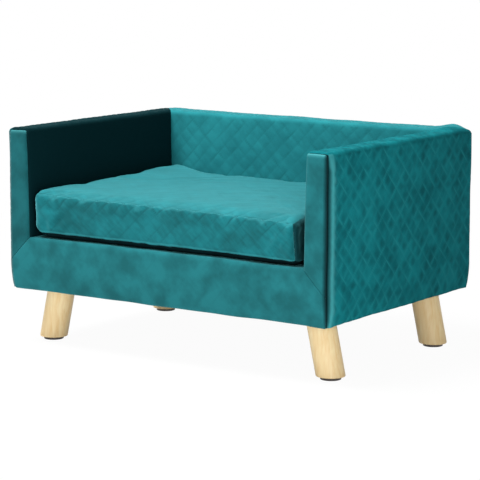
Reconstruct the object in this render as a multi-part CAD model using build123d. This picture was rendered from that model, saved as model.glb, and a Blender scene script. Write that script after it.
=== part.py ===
from build123d import *
import math
import os

# Dog sofa bed: a small upholstered sofa on four splayed wooden legs, with a loose seat cushion.
# Millimetres. The origin is on the floor at the centre of the footprint, X runs to the right as
# seen from the front, Y runs to the back and Z up. The front of the sofa is at the lowest Y.

# Outside sizes of the sofa
body_width = 640.0
body_depth = 450.0
body_top = 367.0
body_underside = 97.0
seat_level = 186.0
edge_round = 9.0
hem_height = 44.0
hem_inset = 5.5
hem_edge_round = 4.0

# Cloth
cover_cloth = 1.5
dust_cloth = 0.8
under_turn = 28.0
rail_turn = 60.0
dust_cover_margin = 14.0
leg_hole_clearance = 2.0

# Padding, by place
arm_outer_pad = 12.0
arm_inner_pad = 14.0
back_outer_pad = 12.0
back_inner_pad = 15.0
front_pad = 12.0
top_pad = 12.0

# Plywood frame
side_board = 15.0
base_board_thickness = 12.0
deck_thickness = 9.0
cleat_size = 18.0

# Frame screws, countersunk
screw_shank = 4.0
screw_head = 8.0
screw_head_depth = 2.4
frame_screw_length = 40.0
deck_screw_length = 24.0
back_screw_shares = (0.14, 0.5, 0.86)
rail_screw_shares = (0.3, 0.75)
base_screw_shares = (0.15, 0.5, 0.85)
deck_screw_shares = (0.1, 0.5, 0.9)

# Staples under the base
staple_width = 10.0
staple_wire = 0.9
staple_leg = 6.0
staple_inset = 22.0
staple_pitch = 62.0

# Legs: round, splayed sideways, both ends cut level
leg_diameter = 47.0
leg_splay = 12.5
leg_top_inset = 57.0
leg_front_inset = 69.0
leg_rear_inset = 57.0
leg_edge_round = 1.5

# Glides under the legs
glide_diameter = 34.0
glide_height = 5.0
glide_edge_round = 1.0
glide_screw_shank = 3.5
glide_screw_head = 7.0
glide_screw_head_depth = 2.0
glide_screw_recess = 1.2
glide_screw_length = 20.0

# Hanger bolts and tee nuts that hold the legs
bolt_diameter = 8.0
bolt_in_leg = 35.0
bolt_above_nut = 2.5
nut_flange_diameter = 22.0
nut_flange_thickness = 1.6
nut_barrel_diameter = 10.0
nut_barrel_length = 9.0
nut_prong = 1.6
nut_prong_length = 6.0
nut_prong_count = 4

# Seat cushion
cushion_side_gap = 9.0
cushion_rear_gap = 5.0
cushion_front_setback = 2.0
cushion_rest_gap = 0.3
cushion_edge_height = 75.0
cushion_crown = 7.0
cushion_slope = 1.7
cushion_roll = 13.0
cushion_corner = 22.0
cushion_draw_in = 5.0
cushion_rear_trim = 3.0
cushion_seam_height = 15.0
roll_angles = (0.0, 35.0, 65.0)
crown_reach_shares = (0.12, 0.4, 0.8)
corner_growth_share = 0.15

# Foam core and wadding of the cushion
wadding_side = 9.0
wadding_under = 5.0
wadding_top = 8.0
foam_edge_round = 4.0

# Zip in the rear of the cushion cover
zip_height = 37.0
zip_end_margin = 57.0
zip_slit_width = 14.0
tape_width = 13.0
tape_thickness = 0.6
tape_tail = 12.0
coil_width = 2.4
coil_height = 1.2
coil_gap = 1.2
stop_length = 3.0
stop_height = 0.9

# Zip slider without a pull tab
slider_length = 11.0
slider_plate = 1.0
slider_running_gap = 0.25
slider_post = 0.7
slider_post_length = 3.0
slider_wall = 0.9
slider_edge_round = 0.3

# Overrun of every cut past the face it goes through, and how close two places count as one
overrun = 5.0
same_place = 0.0001

# Places worked out from the sizes above
half_width = body_width / 2
half_depth = body_depth / 2
arm_thickness = 2 * cover_cloth + arm_outer_pad + side_board + arm_inner_pad
back_thickness = 2 * cover_cloth + back_outer_pad + side_board + back_inner_pad
well_half = half_width - arm_thickness
well_rear = half_depth - back_thickness
arm_board_outer = half_width - cover_cloth - arm_outer_pad
arm_board_inner = arm_board_outer - side_board
board_front = -half_depth + cover_cloth + front_pad
rail_rear = board_front + side_board
board_rear = half_depth - cover_cloth - back_outer_pad
back_board_front = board_rear - side_board
board_bottom = body_underside + cover_cloth
board_top = body_top - cover_cloth - top_pad
base_top = board_bottom + base_board_thickness
deck_top = seat_level - cover_cloth
deck_bottom = deck_top - deck_thickness
cleat_bottom = deck_bottom - cleat_size
body_edge_round = min(edge_round, arm_outer_pad)
hem_top = body_underside + hem_height
hem_radius = (hem_height**2 + hem_inset**2) / (2 * hem_inset)
dust_cover_bottom = body_underside - dust_cloth
leg_lean = math.tan(math.radians(leg_splay))
cushion_bottom = seat_level + cushion_rest_gap
cushion_half = well_half - cushion_side_gap
cushion_front = -half_depth + cushion_front_setback
cushion_rear = well_rear - cushion_rear_gap
zip_length = 2 * (cushion_half - zip_end_margin)
zip_centre = cushion_bottom + zip_height

parts = {}


def block(low, high):
    """A box between its lowest and its highest corner."""
    size = [high[i] - low[i] for i in range(3)]
    middle = [(high[i] + low[i]) / 2 for i in range(3)]
    return Pos(*middle) * Box(*size)


def plan_prism(points, bottom, top):
    """A plan outline carried up from one level to another."""
    outline = make_face(Polyline(*[(x, y, bottom) for x, y in points], close=True))
    return extrude(outline, top - bottom, dir=(0, 0, 1))


def front_prism(points, front, rear):
    """An outline seen from the front, carried back from one depth to another."""
    outline = make_face(Polyline(*[(x, front, z) for x, z in points], close=True))
    return extrude(outline, rear - front, dir=(0, 1, 0))


def rod(diameter, start, end):
    """A round bar between two points."""
    line = Vector(*end) - Vector(*start)
    plane = Plane(origin=start, z_dir=line)
    return extrude(plane * Circle(diameter / 2), line.length)


def hemmed_profile(plane, half, inset):
    """A tall outline whose lower sides curve in on an arc that starts upright at the hem's top."""
    bottom = body_underside + inset
    top = body_top - inset
    outer = half - inset
    radius = hem_radius - inset
    centre = half - hem_radius
    sweep = math.asin((hem_top - bottom) / radius)
    foot = centre + radius * math.cos(sweep)
    bend_x = centre + radius * math.cos(sweep / 2)
    bend_z = hem_top - radius * math.sin(sweep / 2)
    sides = [
        Line((-foot, bottom), (foot, bottom)),
        ThreePointArc((foot, bottom), (bend_x, bend_z), (outer, hem_top)),
        Polyline((outer, hem_top), (outer, top), (-outer, top), (-outer, hem_top)),
        ThreePointArc((-outer, hem_top), (-bend_x, bend_z), (-foot, bottom)),
    ]
    return plane * make_face(sides)


def upholstered_form(inset):
    """The sofa's outside moved in by a thickness: a rounded block with the seat well cut out."""
    long_way = extrude(hemmed_profile(Plane.XZ, half_width, inset), half_depth + overrun, both=True)
    short_way = extrude(hemmed_profile(Plane.YZ, half_depth, inset), half_width + overrun, both=True)
    outer = long_way & short_way
    side = well_half + inset
    rear = well_rear + inset
    floor = seat_level - inset
    well = block((-side, -half_depth - overrun, floor), (side, rear, body_top + overrun))
    form = outer - well

    def on_two_well_walls(edge):
        middle = edge.center()
        on_side = math.isclose(abs(middle.X), side, abs_tol=same_place)
        on_rear = math.isclose(middle.Y, rear, abs_tol=same_place)
        on_floor = math.isclose(middle.Z, floor, abs_tol=same_place)
        return on_side + on_rear + on_floor >= 2

    hem_edges = form.edges().group_by(Axis.Z)[0]
    outward_edges = [
        edge for edge in form.edges() if not on_two_well_walls(edge) and edge not in hem_edges
    ]
    form = fillet(outward_edges, body_edge_round - inset)
    return fillet(form.edges().group_by(Axis.Z)[0], hem_edge_round - inset)


# Staples: two legs and a crown, driven up through the cloth under the base
def staple(x, y, along_x):
    half = staple_width / 2
    wire = staple_wire / 2
    crown_bottom = dust_cover_bottom - staple_wire
    leg_top = board_bottom + staple_leg
    reach = (half, wire) if along_x else (wire, half)
    crown = block(
        (x - reach[0], y - reach[1], crown_bottom), (x + reach[0], y + reach[1], dust_cover_bottom)
    )
    shift = half - wire
    legs = []
    for side in (-1, 1):
        leg_x = x + side * shift if along_x else x
        leg_y = y if along_x else y + side * shift
        low = (leg_x - wire, leg_y - wire, dust_cover_bottom)
        high = (leg_x + wire, leg_y + wire, leg_top)
        legs.append(block(low, high))
    return crown + legs[0] + legs[1]


def staple_places():
    """Staples along the four sides of the base, evenly spaced between the corners."""
    line_x = half_width - staple_inset
    line_y = half_depth - staple_inset
    count_x = max(2, round(2 * line_x / staple_pitch))
    count_y = max(2, round(2 * line_y / staple_pitch))
    for i in range(count_x):
        x = -line_x + (i + 0.5) * 2 * line_x / count_x
        for y in (-line_y, line_y):
            yield x, y, True
    for i in range(count_y):
        y = -line_y + (i + 0.5) * 2 * line_y / count_y
        for x in (-line_x, line_x):
            yield x, y, False


def make_staples():
    return [staple(x, y, along_x) for x, y, along_x in staple_places()]


# Frame screws
def frame_screw(head_point, direction, length):
    """A countersunk screw whose head is flush at head_point, driven along direction."""
    plane = Plane(origin=head_point, z_dir=direction)
    head = Cone(
        screw_head / 2,
        screw_shank / 2,
        screw_head_depth,
        align=(Align.CENTER, Align.CENTER, Align.MIN),
    )
    shank = Cylinder(
        screw_shank / 2,
        length,
        align=(Align.CENTER, Align.CENTER, Align.MIN),
    )
    return plane * (head + shank)


def make_frame_screws():
    """Screws through the arm boards into the boards between them, and down through the deck."""
    screws = []
    rail_middle = (board_front + rail_rear) / 2
    back_middle = (back_board_front + board_rear) / 2
    base_middle = (board_bottom + base_top) / 2
    for side in (-1, 1):
        outer_x = side * arm_board_outer
        inward = (-side, 0, 0)
        for share in back_screw_shares:
            z = base_top + share * (board_top - base_top)
            screws.append(frame_screw((outer_x, back_middle, z), inward, frame_screw_length))
        for share in rail_screw_shares:
            z = base_top + share * (deck_top - base_top)
            screws.append(frame_screw((outer_x, rail_middle, z), inward, frame_screw_length))
        for share in base_screw_shares:
            y = rail_rear + share * (back_board_front - rail_rear)
            screws.append(frame_screw((outer_x, y, base_middle), inward, frame_screw_length))
        cleat_middle = side * (arm_board_inner - cleat_size / 2)
        for share in deck_screw_shares:
            y = rail_rear + share * (back_board_front - rail_rear)
            screws.append(frame_screw((cleat_middle, y, deck_top), (0, 0, -1), deck_screw_length))
    return screws


# Legs, glides and what bolts the legs to the base board
leg_names = {
    "front_left": (-1, -half_depth + leg_front_inset),
    "front_right": (1, -half_depth + leg_front_inset),
    "rear_left": (-1, half_depth - leg_rear_inset),
    "rear_right": (1, half_depth - leg_rear_inset),
}


def leg_centre(side, level):
    """Where the leaning middle line of a leg passes a level."""
    return side * (half_width - leg_top_inset + (board_bottom - level) * leg_lean)


def make_leg(side, y):
    """A leaning round bar cut level at the base board and at the glide."""
    start = (leg_centre(side, -leg_diameter), y, -leg_diameter)
    end = (leg_centre(side, board_bottom + leg_diameter), y, board_bottom + leg_diameter)
    bar = rod(leg_diameter, start, end)
    reach = half_width + leg_diameter * 2
    slab = block((-reach, -half_depth, glide_height), (reach, half_depth, board_bottom))
    leg = bar & slab
    bottom_edge = leg.edges().group_by(Axis.Z)[0]
    return fillet(bottom_edge, leg_edge_round)


def make_glide(side, y):
    x = leg_centre(side, glide_height)
    disc = rod(glide_diameter, (x, y, 0), (x, y, glide_height))
    disc = fillet(disc.edges().group_by(Axis.Z)[0], glide_edge_round)
    head_top = glide_screw_recess + glide_screw_head_depth
    recess = rod(glide_screw_head, (x, y, -overrun), (x, y, head_top))
    hole = rod(glide_screw_shank, (x, y, -overrun), (x, y, glide_height + overrun))
    return disc - recess - hole


def make_glide_screw(side, y):
    x = leg_centre(side, glide_height)
    head_top = glide_screw_recess + glide_screw_head_depth
    head = rod(glide_screw_head, (x, y, glide_screw_recess), (x, y, head_top))
    shank = rod(glide_screw_shank, (x, y, head_top), (x, y, head_top + glide_screw_length))
    return head + shank


def make_hanger_bolt(side, y):
    x = leg_centre(side, board_bottom)
    top = base_top + nut_flange_thickness + bolt_above_nut
    return rod(bolt_diameter, (x, y, board_bottom - bolt_in_leg), (x, y, top))


def make_tee_nut(side, y):
    """Flange on the base board, barrel down into it and prongs round the barrel."""
    x = leg_centre(side, board_bottom)
    flange_top = base_top + nut_flange_thickness
    nut = rod(nut_flange_diameter, (x, y, base_top), (x, y, flange_top))
    nut += rod(nut_barrel_diameter, (x, y, base_top - nut_barrel_length), (x, y, base_top))
    ring = (nut_barrel_diameter + nut_flange_diameter) / 4
    half = nut_prong / 2
    for i in range(nut_prong_count):
        turn = 2 * math.pi * i / nut_prong_count
        prong_x = x + ring * math.cos(turn)
        prong_y = y + ring * math.sin(turn)
        low = (prong_x - half, prong_y - half, base_top - nut_prong_length)
        nut += block(low, (prong_x + half, prong_y + half, base_top))
    bore = rod(bolt_diameter, (x, y, board_bottom - overrun), (x, y, flange_top + overrun))
    return nut - bore


def leg_opening(side, y):
    """Room for a leg's top in the cloth under the base."""
    x = leg_centre(side, board_bottom)
    width = leg_diameter / math.cos(math.radians(leg_splay)) + 2 * leg_hole_clearance
    bottom = dust_cover_bottom - overrun
    return rod(width, (x, y, bottom), (x, y, board_bottom))


# Boards of the frame
def make_boards():
    boards = {}
    for name, side in (("arm_board_left", -1), ("arm_board_right", 1)):
        edges = sorted((side * arm_board_inner, side * arm_board_outer))
        low = (edges[0], board_front, board_bottom)
        boards[name] = block(low, (edges[1], board_rear, board_top))
    boards["back_board"] = block(
        (-arm_board_inner, back_board_front, board_bottom), (arm_board_inner, board_rear, board_top)
    )
    boards["front_rail_board"] = block(
        (-arm_board_inner, board_front, board_bottom), (arm_board_inner, rail_rear, deck_top)
    )
    boards["base_board"] = block(
        (-arm_board_inner, rail_rear, board_bottom), (arm_board_inner, back_board_front, base_top)
    )
    boards["seat_deck"] = block(
        (-arm_board_inner, rail_rear, deck_bottom), (arm_board_inner, back_board_front, deck_top)
    )
    return boards


def make_cleats():
    """Four strips round the inside of the frame, just under the deck."""
    side_inner = arm_board_inner - cleat_size
    cleats = []
    for side in (-1, 1):
        edges = sorted((side * side_inner, side * arm_board_inner))
        low = (edges[0], rail_rear, cleat_bottom)
        cleats.append(block(low, (edges[1], back_board_front, deck_bottom)))
    for front in (rail_rear, back_board_front - cleat_size):
        low = (-side_inner, front, cleat_bottom)
        cleats.append(block(low, (side_inner, front + cleat_size, deck_bottom)))
    return cleats


def make_corner_posts():
    """Four posts that carry the cleats on the base board."""
    posts = []
    for side in (-1, 1):
        edges = sorted((side * (arm_board_inner - cleat_size), side * arm_board_inner))
        for front in (rail_rear, back_board_front - cleat_size):
            low = (edges[0], front, base_top)
            posts.append(block(low, (edges[1], front + cleat_size, cleat_bottom)))
    return posts


# Padding: what is left between the boards and the inside of the covers
def make_padding(boards):
    filling = upholstered_form(cover_cloth)
    for name in ("arm_board_left", "arm_board_right", "back_board", "front_rail_board"):
        filling -= boards[name]
    filling -= block(
        (-arm_board_inner, rail_rear, body_underside), (arm_board_inner, back_board_front, deck_top)
    )
    arm_limit = well_half + cover_cloth
    far = half_width + overrun
    deep = half_depth + overrun
    high = body_top + overrun
    pads = {}
    pads["arm_pad_left"] = filling & block((-far, -deep, 0), (-arm_limit, deep, high))
    pads["arm_pad_right"] = filling & block((arm_limit, -deep, 0), (far, deep, high))
    pads["back_pad"] = filling & block((-arm_limit, 0, 0), (arm_limit, deep, high))
    pads["front_rail_pad"] = filling & block((-arm_limit, -deep, 0), (arm_limit, 0, high))
    return pads


# Covers: one skin over the padding, cut into panels along its seams
def make_covers():
    skin = upholstered_form(0) - upholstered_form(cover_cloth)
    skin -= block(
        (-half_width + under_turn, -half_depth + under_turn, body_underside - overrun),
        (half_width - under_turn, half_depth - under_turn, board_bottom),
    )
    far = half_width + overrun
    front = -half_depth - overrun
    rear = half_depth + overrun
    high = body_top + overrun
    low = body_underside - overrun
    front_seam = -half_depth + cover_cloth
    rear_seam = half_depth - cover_cloth
    inner_skin = well_half + cover_cloth

    def corner_wedge(side_y):
        """The plan of the cloth turned under the front or rear edge, mitred at its corners."""
        edge = side_y * (half_depth + overrun)
        inner = side_y * (half_depth - under_turn)
        inner_x = half_width - under_turn
        plan = [(-far, edge), (far, edge), (inner_x, inner), (-inner_x, inner)]
        return plan_prism(plan, low, hem_top)

    def take(zone):
        nonlocal skin
        piece = skin & zone
        skin = skin - zone
        return piece

    covers = {}
    covers["outer_back_cover"] = take(block((-far, rear_seam, low), (far, rear, high)))
    covers["outer_back_cover"] += take(corner_wedge(1))

    for name, side in (("arm_front_left", -1), ("arm_front_right", 1)):
        outline = [
            (side * well_half, seat_level),
            (side * far, seat_level - (far - well_half)),
            (side * far, high),
            (side * (well_half - overrun), high),
            (side * (well_half - overrun), seat_level),
        ]
        covers[name] = take(front_prism(outline, front, front_seam))

    rail_cover = take(block((-far, front, low), (far, front_seam, seat_level)))
    rail_cover += take(corner_wedge(-1))
    rail_floor = seat_level - body_edge_round
    rail_cover += take(
        block((-inner_skin, front, rail_floor), (inner_skin, -half_depth + rail_turn, seat_level))
    )
    covers["front_rail_cover"] = rail_cover

    deck_rear = well_rear + cover_cloth
    covers["seat_deck_cloth"] = take(
        block((-inner_skin, front, deck_top), (inner_skin, deck_rear, seat_level))
    )

    mitre_y = well_rear + far - well_half
    back_plan = [(-well_half, well_rear), (well_half, well_rear), (far, mitre_y), (-far, mitre_y)]
    covers["back_cover"] = take(plan_prism(back_plan, seat_level, high))

    deep = half_depth + overrun
    covers["arm_cover_left"] = take(block((-far, -deep, low), (0, deep, high)))
    covers["arm_cover_right"] = take(block((0, -deep, low), (far, deep, high)))
    return covers


def make_dust_cover():
    """A thin sheet under the base, over the turned-in edges of the covers."""
    reach_x = half_width - dust_cover_margin
    reach_y = half_depth - dust_cover_margin
    low = (-reach_x, -reach_y, dust_cover_bottom)
    return block(low, (reach_x, reach_y, body_underside))


# Seat cushion
def cushion_contour(inset, level, lean):
    """One contour of the cushion: drawn-in front and sides, a straight rear side, round corners."""
    x = cushion_half - inset
    rear_full = cushion_rear + cushion_rear_trim
    middle = (cushion_front + rear_full) / 2
    reach = (rear_full - cushion_front) / 2 - inset
    corner = cushion_corner + inset * corner_growth_share
    bend = corner * (1 - math.sqrt(0.5))
    draw = cushion_draw_in
    tilt = math.radians(lean)
    plane = Plane(
        origin=(0, middle, level), x_dir=(1, 0, 0), z_dir=(0, -math.sin(tilt), math.cos(tilt))
    )
    front_left = (-x + corner, -reach)
    front_right = (x - corner, -reach)
    right_front = (x, -reach + corner)
    right_rear = (x, reach - corner)
    rear_right = (x - corner, reach)
    rear_left = (-x + corner, reach)
    left_rear = (-x, reach - corner)
    left_front = (-x, -reach + corner)
    sides = [
        ThreePointArc(front_left, (0, -reach + draw), front_right),
        ThreePointArc(front_right, (x - bend, -reach + bend), right_front),
        ThreePointArc(right_front, (x - draw, 0), right_rear),
        ThreePointArc(right_rear, (x - bend, reach - bend), rear_right),
        Line(rear_right, rear_left),
        ThreePointArc(rear_left, (-x + bend, reach - bend), left_rear),
        ThreePointArc(left_rear, (-x + draw, 0), left_front),
        ThreePointArc(left_front, (-x + bend, -reach + bend), front_left),
    ]
    return plane * make_face(sides)


def cushion_profile(skin):
    """Inset, height and lean of each contour, from the rolled lower edge to the crown's flat.

    Lower roll: inset = roll (1 - sin a) and height = roll (1 - cos a). The upper roll is the same
    turned over. The crown climbs as 1 - (1 - s)^2 while the contour shrinks by a share s.
    """
    top = cushion_edge_height
    levels = []
    for angle in roll_angles:
        turn = math.radians(angle)
        inset = cushion_roll * (1 - math.sin(turn))
        levels.append((inset, cushion_roll * (1 - math.cos(turn))))
    levels.append((0, top / 2))
    for angle in reversed(roll_angles):
        turn = math.radians(angle)
        inset = cushion_roll * (1 - math.sin(turn))
        levels.append((inset, top - cushion_roll * (1 - math.cos(turn))))
    reach = (cushion_rear - cushion_front) / 2 - cushion_roll - cushion_corner
    for share in crown_reach_shares:
        rise = cushion_crown * (1 - (1 - share) ** 2)
        levels.append((cushion_roll + share * reach, top + rise))
    height = levels[-1][1]
    squeeze = (height - 2 * skin) / height
    for inset, level in levels:
        lean = cushion_slope * min(level / top, 1)
        yield inset + skin, skin + level * squeeze, lean


def cushion_form(skin):
    """The cushion moved in by a thickness, with a flat band at the rear for the zip.

    One loft goes up the rolled sides, a second one from their last contour over the crown.
    """
    contours = [
        cushion_contour(inset, cushion_bottom + level, lean)
        for inset, level, lean in cushion_profile(skin)
    ]
    last_side = 2 * len(roll_angles)
    form = loft(contours[: last_side + 1]) + loft(contours[last_side:])
    high = body_top + cushion_edge_height
    kept = block((-half_width, -half_depth - overrun, 0), (half_width, cushion_rear - skin, high))
    return form & kept


def make_cushion():
    pieces = {}
    filling = cushion_form(cover_cloth)
    shell = cushion_form(0) - filling
    far = half_width
    seam = cushion_bottom + cushion_seam_height
    below_seam = block((-far, -half_depth - overrun, 0), (far, half_depth, seam))
    pieces["cushion_base"] = shell & below_seam

    half_zip = zip_length / 2
    slit_half = zip_slit_width / 2
    slit = block(
        (-half_zip, cushion_rear - cover_cloth - tape_thickness, zip_centre - slit_half),
        (half_zip, cushion_rear + overrun, zip_centre + slit_half),
    )
    pieces["cushion_cover"] = shell - below_seam - slit

    tape_face = cushion_rear - cover_cloth
    tape_back = tape_face - tape_thickness
    tape_half = half_zip + tape_tail
    tapes = []
    coils = []
    for side in (-1, 1):
        edges = sorted((zip_centre + side * coil_gap / 2, zip_centre + side * tape_width))
        tapes.append(block((-tape_half, tape_back, edges[0]), (tape_half, tape_face, edges[1])))
        far_edge = zip_centre + side * (coil_gap / 2 + coil_width)
        edges = sorted((zip_centre + side * coil_gap / 2, far_edge))
        low = (-half_zip, tape_face, edges[0])
        coils.append(block(low, (half_zip, tape_face + coil_height, edges[1])))
    pieces["zip_tapes"] = tapes
    pieces["zip_coils"] = coils

    coil_half = coil_gap / 2 + coil_width
    coil_top = tape_face + coil_height
    stops = []
    for side in (-1, 1):
        edges = sorted((side * half_zip, side * (half_zip - stop_length)))
        low = (edges[0], coil_top, zip_centre - coil_half)
        stops.append(block(low, (edges[1], coil_top + stop_height, zip_centre + coil_half)))
    pieces["zip_stops"] = stops

    gap = slider_running_gap
    inner_plate = tape_back - gap - slider_plate
    channel_half = coil_half + gap + slider_wall + gap
    channel = block(
        (-half_zip, inner_plate - gap, zip_centre - channel_half),
        (half_zip, tape_face + overrun, zip_centre + channel_half),
    )
    tape_room = block(
        (-tape_half, tape_back, zip_centre - tape_width),
        (tape_half, tape_face + overrun, zip_centre + tape_width),
    )
    inner = wadding_side + cover_cloth
    foam = block(
        (-cushion_half + inner, cushion_front + inner, cushion_bottom + cover_cloth + wadding_under),
        (cushion_half - inner, cushion_rear - inner, foam_top()),
    )
    foam = fillet(foam.edges(), foam_edge_round)
    pieces["cushion_foam"] = foam
    pieces["cushion_wadding"] = filling - foam - channel - tape_room
    pieces["zip_slider"] = make_zip_slider(tape_face, tape_back, coil_half)
    return pieces


def foam_top():
    """The foam's top lies under the wadding at the lower, front edge of the cushion."""
    half_run = (cushion_rear - cushion_front) / 2
    front_drop = half_run * math.tan(math.radians(cushion_slope))
    return cushion_bottom + cushion_edge_height - front_drop - cover_cloth - wadding_top


def make_zip_slider(tape_face, tape_back, coil_half):
    """Two plates joined by a post that runs between the coils, with walls beside the coils."""
    gap = slider_running_gap
    closed_x = zip_length / 2 - stop_length - slider_length / 2 - gap
    start = closed_x - slider_length / 2
    end = closed_x + slider_length / 2
    plate_half = coil_half + gap + slider_wall
    coil_top = tape_face + coil_height
    outer_low = coil_top + gap
    outer_high = outer_low + slider_plate
    outer = block(
        (start, outer_low, zip_centre - plate_half), (end, outer_high, zip_centre + plate_half)
    )
    outer_rim = outer.faces().sort_by(Axis.Y)[-1].edges()
    slider = fillet(outer_rim, slider_edge_round)
    inner_high = tape_back - gap
    slider += block(
        (start, inner_high - slider_plate, zip_centre - plate_half),
        (end, inner_high, zip_centre + plate_half),
    )
    for side in (-1, 1):
        wall = sorted((zip_centre + side * plate_half, zip_centre + side * (coil_half + gap)))
        slider += block((start, tape_face + gap, wall[0]), (end, outer_low, wall[1]))
    half_post = slider_post / 2
    post_end = end - slider_post_length
    slider += block(
        (post_end, inner_high, zip_centre - half_post), (end, outer_low, zip_centre + half_post)
    )
    return slider


def cut_all(piece, tools):
    """Cut from a piece each tool whose box meets the piece's box."""
    box = piece.bounding_box()
    for tool in tools:
        other = tool.bounding_box()
        apart = (
            other.min.X > box.max.X
            or other.max.X < box.min.X
            or other.min.Y > box.max.Y
            or other.max.Y < box.min.Y
            or other.min.Z > box.max.Z
            or other.max.Z < box.min.Z
        )
        if not apart:
            piece = piece - tool
    return piece


boards = make_boards()
pads = make_padding(boards)
covers = make_covers()
staples = make_staples()
screws = make_frame_screws()
cleats = make_cleats()
legs = {name: make_leg(side, y) for name, (side, y) in leg_names.items()}
bolts = [make_hanger_bolt(side, y) for side, y in leg_names.values()]
nuts = [make_tee_nut(side, y) for side, y in leg_names.values()]
glide_screws = {name: make_glide_screw(side, y) for name, (side, y) in leg_names.items()}
leg_openings = [leg_opening(side, y) for side, y in leg_names.values()]

for name, board in boards.items():
    parts[name] = cut_all(board, screws + staples + bolts + nuts)
parts["seat_cleats"] = Compound(children=[cut_all(cleat, screws) for cleat in cleats])
parts["corner_posts"] = Compound(children=make_corner_posts())
parts["frame_screws"] = Compound(children=screws)
parts["tee_nuts"] = Compound(children=nuts)
parts["hanger_bolts"] = Compound(children=bolts)
parts["staples"] = Compound(children=staples)
for name, pad in pads.items():
    parts[name] = cut_all(pad, staples)
for name, cover in covers.items():
    parts[name] = cut_all(cover, staples + leg_openings)
parts["dust_cover"] = cut_all(make_dust_cover(), staples + leg_openings)
for name, leg in legs.items():
    side, y = leg_names[name]
    parts["leg_" + name] = cut_all(leg, bolts + [glide_screws[name]])
    parts["glide_" + name] = make_glide(side, y)
parts["glide_screws"] = Compound(children=list(glide_screws.values()))
for name, piece in make_cushion().items():
    parts[name] = Compound(children=piece) if isinstance(piece, list) else piece

os.makedirs("parts", exist_ok=True)
for name, shape in parts.items():
    export_step(shape, "parts/" + name + ".step")
print(len(parts), "nodes")
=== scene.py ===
import math
from functools import partial
import bpy
import numpy as np
from mathutils import Matrix, Vector


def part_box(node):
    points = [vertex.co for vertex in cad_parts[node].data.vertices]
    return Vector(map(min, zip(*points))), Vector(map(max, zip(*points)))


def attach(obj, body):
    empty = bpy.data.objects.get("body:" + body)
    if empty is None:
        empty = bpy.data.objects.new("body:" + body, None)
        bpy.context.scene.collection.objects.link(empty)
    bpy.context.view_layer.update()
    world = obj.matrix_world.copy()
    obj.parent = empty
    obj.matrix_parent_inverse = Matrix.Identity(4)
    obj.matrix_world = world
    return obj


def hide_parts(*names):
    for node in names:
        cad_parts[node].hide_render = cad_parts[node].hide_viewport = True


# Dog sofa bed: teal quilted velvet over a boxy frame, a loose seat cushion and four splayed
# wooden legs. Metres, in the frame's own axes: X right, Y back, Z up, origin on the floor.
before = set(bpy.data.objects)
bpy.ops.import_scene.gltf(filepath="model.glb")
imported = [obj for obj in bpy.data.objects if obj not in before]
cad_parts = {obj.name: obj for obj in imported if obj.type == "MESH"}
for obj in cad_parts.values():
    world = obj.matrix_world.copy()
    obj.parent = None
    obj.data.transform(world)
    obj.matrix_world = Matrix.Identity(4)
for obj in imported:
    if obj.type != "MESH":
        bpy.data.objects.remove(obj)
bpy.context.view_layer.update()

MM = 0.001
TINY = 0.001 * MM
MERGE = 0.02 * MM
FAR = 1.0

# Outside sizes, read from the frame
HALF_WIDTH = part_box("arm_cover_right")[1].x
WELL_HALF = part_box("arm_cover_right")[0].x
HALF_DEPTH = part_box("outer_back_cover")[1].y
WELL_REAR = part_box("back_cover")[0].y
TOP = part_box("back_cover")[1].z
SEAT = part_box("front_rail_cover")[1].z
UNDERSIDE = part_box("front_rail_cover")[0].z
ARM = HALF_WIDTH - WELL_HALF
SIDE_HEIGHT = TOP - UNDERSIDE
RAIL_HEIGHT = SEAT - UNDERSIDE
RISE = TOP - SEAT
BACK_DEPTH = HALF_DEPTH - WELL_REAR
OVER_ARM = SIDE_HEIGHT + ARM + RISE
OVER_BACK = RISE + BACK_DEPTH

# Upholstery
EDGE = 5 * MM
FULLNESS = 0.7 * MM
OUTER_FULLNESS = 1.3 * MM
HEM_HEIGHT = 44 * MM
HEM_INSET = 5.5 * MM
HEM_ROUND = 3 * MM
HEM_RADIUS = (HEM_HEIGHT**2 + HEM_INSET**2) / (2 * HEM_INSET)
HEM_SAG = 4 * MM
HEM_WAVE = 1.1 * MM
HEM_WAVE_LENGTH = 75 * MM
HEM_WAVE_REACH = 16 * MM
UNDER_TURN = 26 * MM
RAIL_TURN = 60 * MM
CLOTH = 1.5 * MM
SEAM_ROLL = 1.6 * MM
FRONT_ROLL = 8 * MM
FRONT_ROLL_TAPER = 26 * MM
FRONT_ROLL_TOP = 0.4
FRONT_SWELL = (1.6 * MM, 11 * MM, 9 * MM)
FRONT_BAND = 7 * MM
FRONT_SHADE = (1.5 * MM, 6 * MM)
MITRE_ROLL = 0.5 * MM
SEAM_TUCK = 4.5 * MM
SEAM_SHADE = (0.3 * MM, 1.5 * MM)
PANEL_CROWN = 1.4 * MM
SOFT_WAVE = 0.5 * MM
SOFT_WAVE_LENGTH = 80 * MM
ARM_LEAN = 4.5 * MM
REAR_APEX = 6.5 * MM
REAR_APEX_FROM_CORNER = 35 * MM
REAR_APEX_WIDTH = 22 * MM
REAR_DROP = 3.2 * MM
REAR_DROP_WIDTH = 17 * MM
REAR_LEFT = 0.2
PAINTED_DARK_BLEND = (3 * MM, 7 * MM)
REAR_PAINTED_SHADE = 0.26
LEFT_STRIP_PAINTED_SHADE = 0.3
PAD_DEPTH = 4 * MM
PAD_THICKNESS = 7 * MM
PAD_STEP = 12 * MM
STRIP_TOP_HIGHLIGHT = (0.8, 3.5 * MM)
STRIP_TOP_SHADE = 0.3
BAND_HIGHLIGHT = 0.65
BAND_RAGGED = (0.3, 14 * MM)
# How much of the quilting's relief shows on strips and rail, inside the arms and on the back
PLAIN_QUILT, INSIDE_QUILT, BACK_QUILT = 0.2, 0.4, 0.8
# The quilting's wear: its mean, its swing and the length of its waves
WEAR = (0.8, 0.4, 55 * MM)
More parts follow.
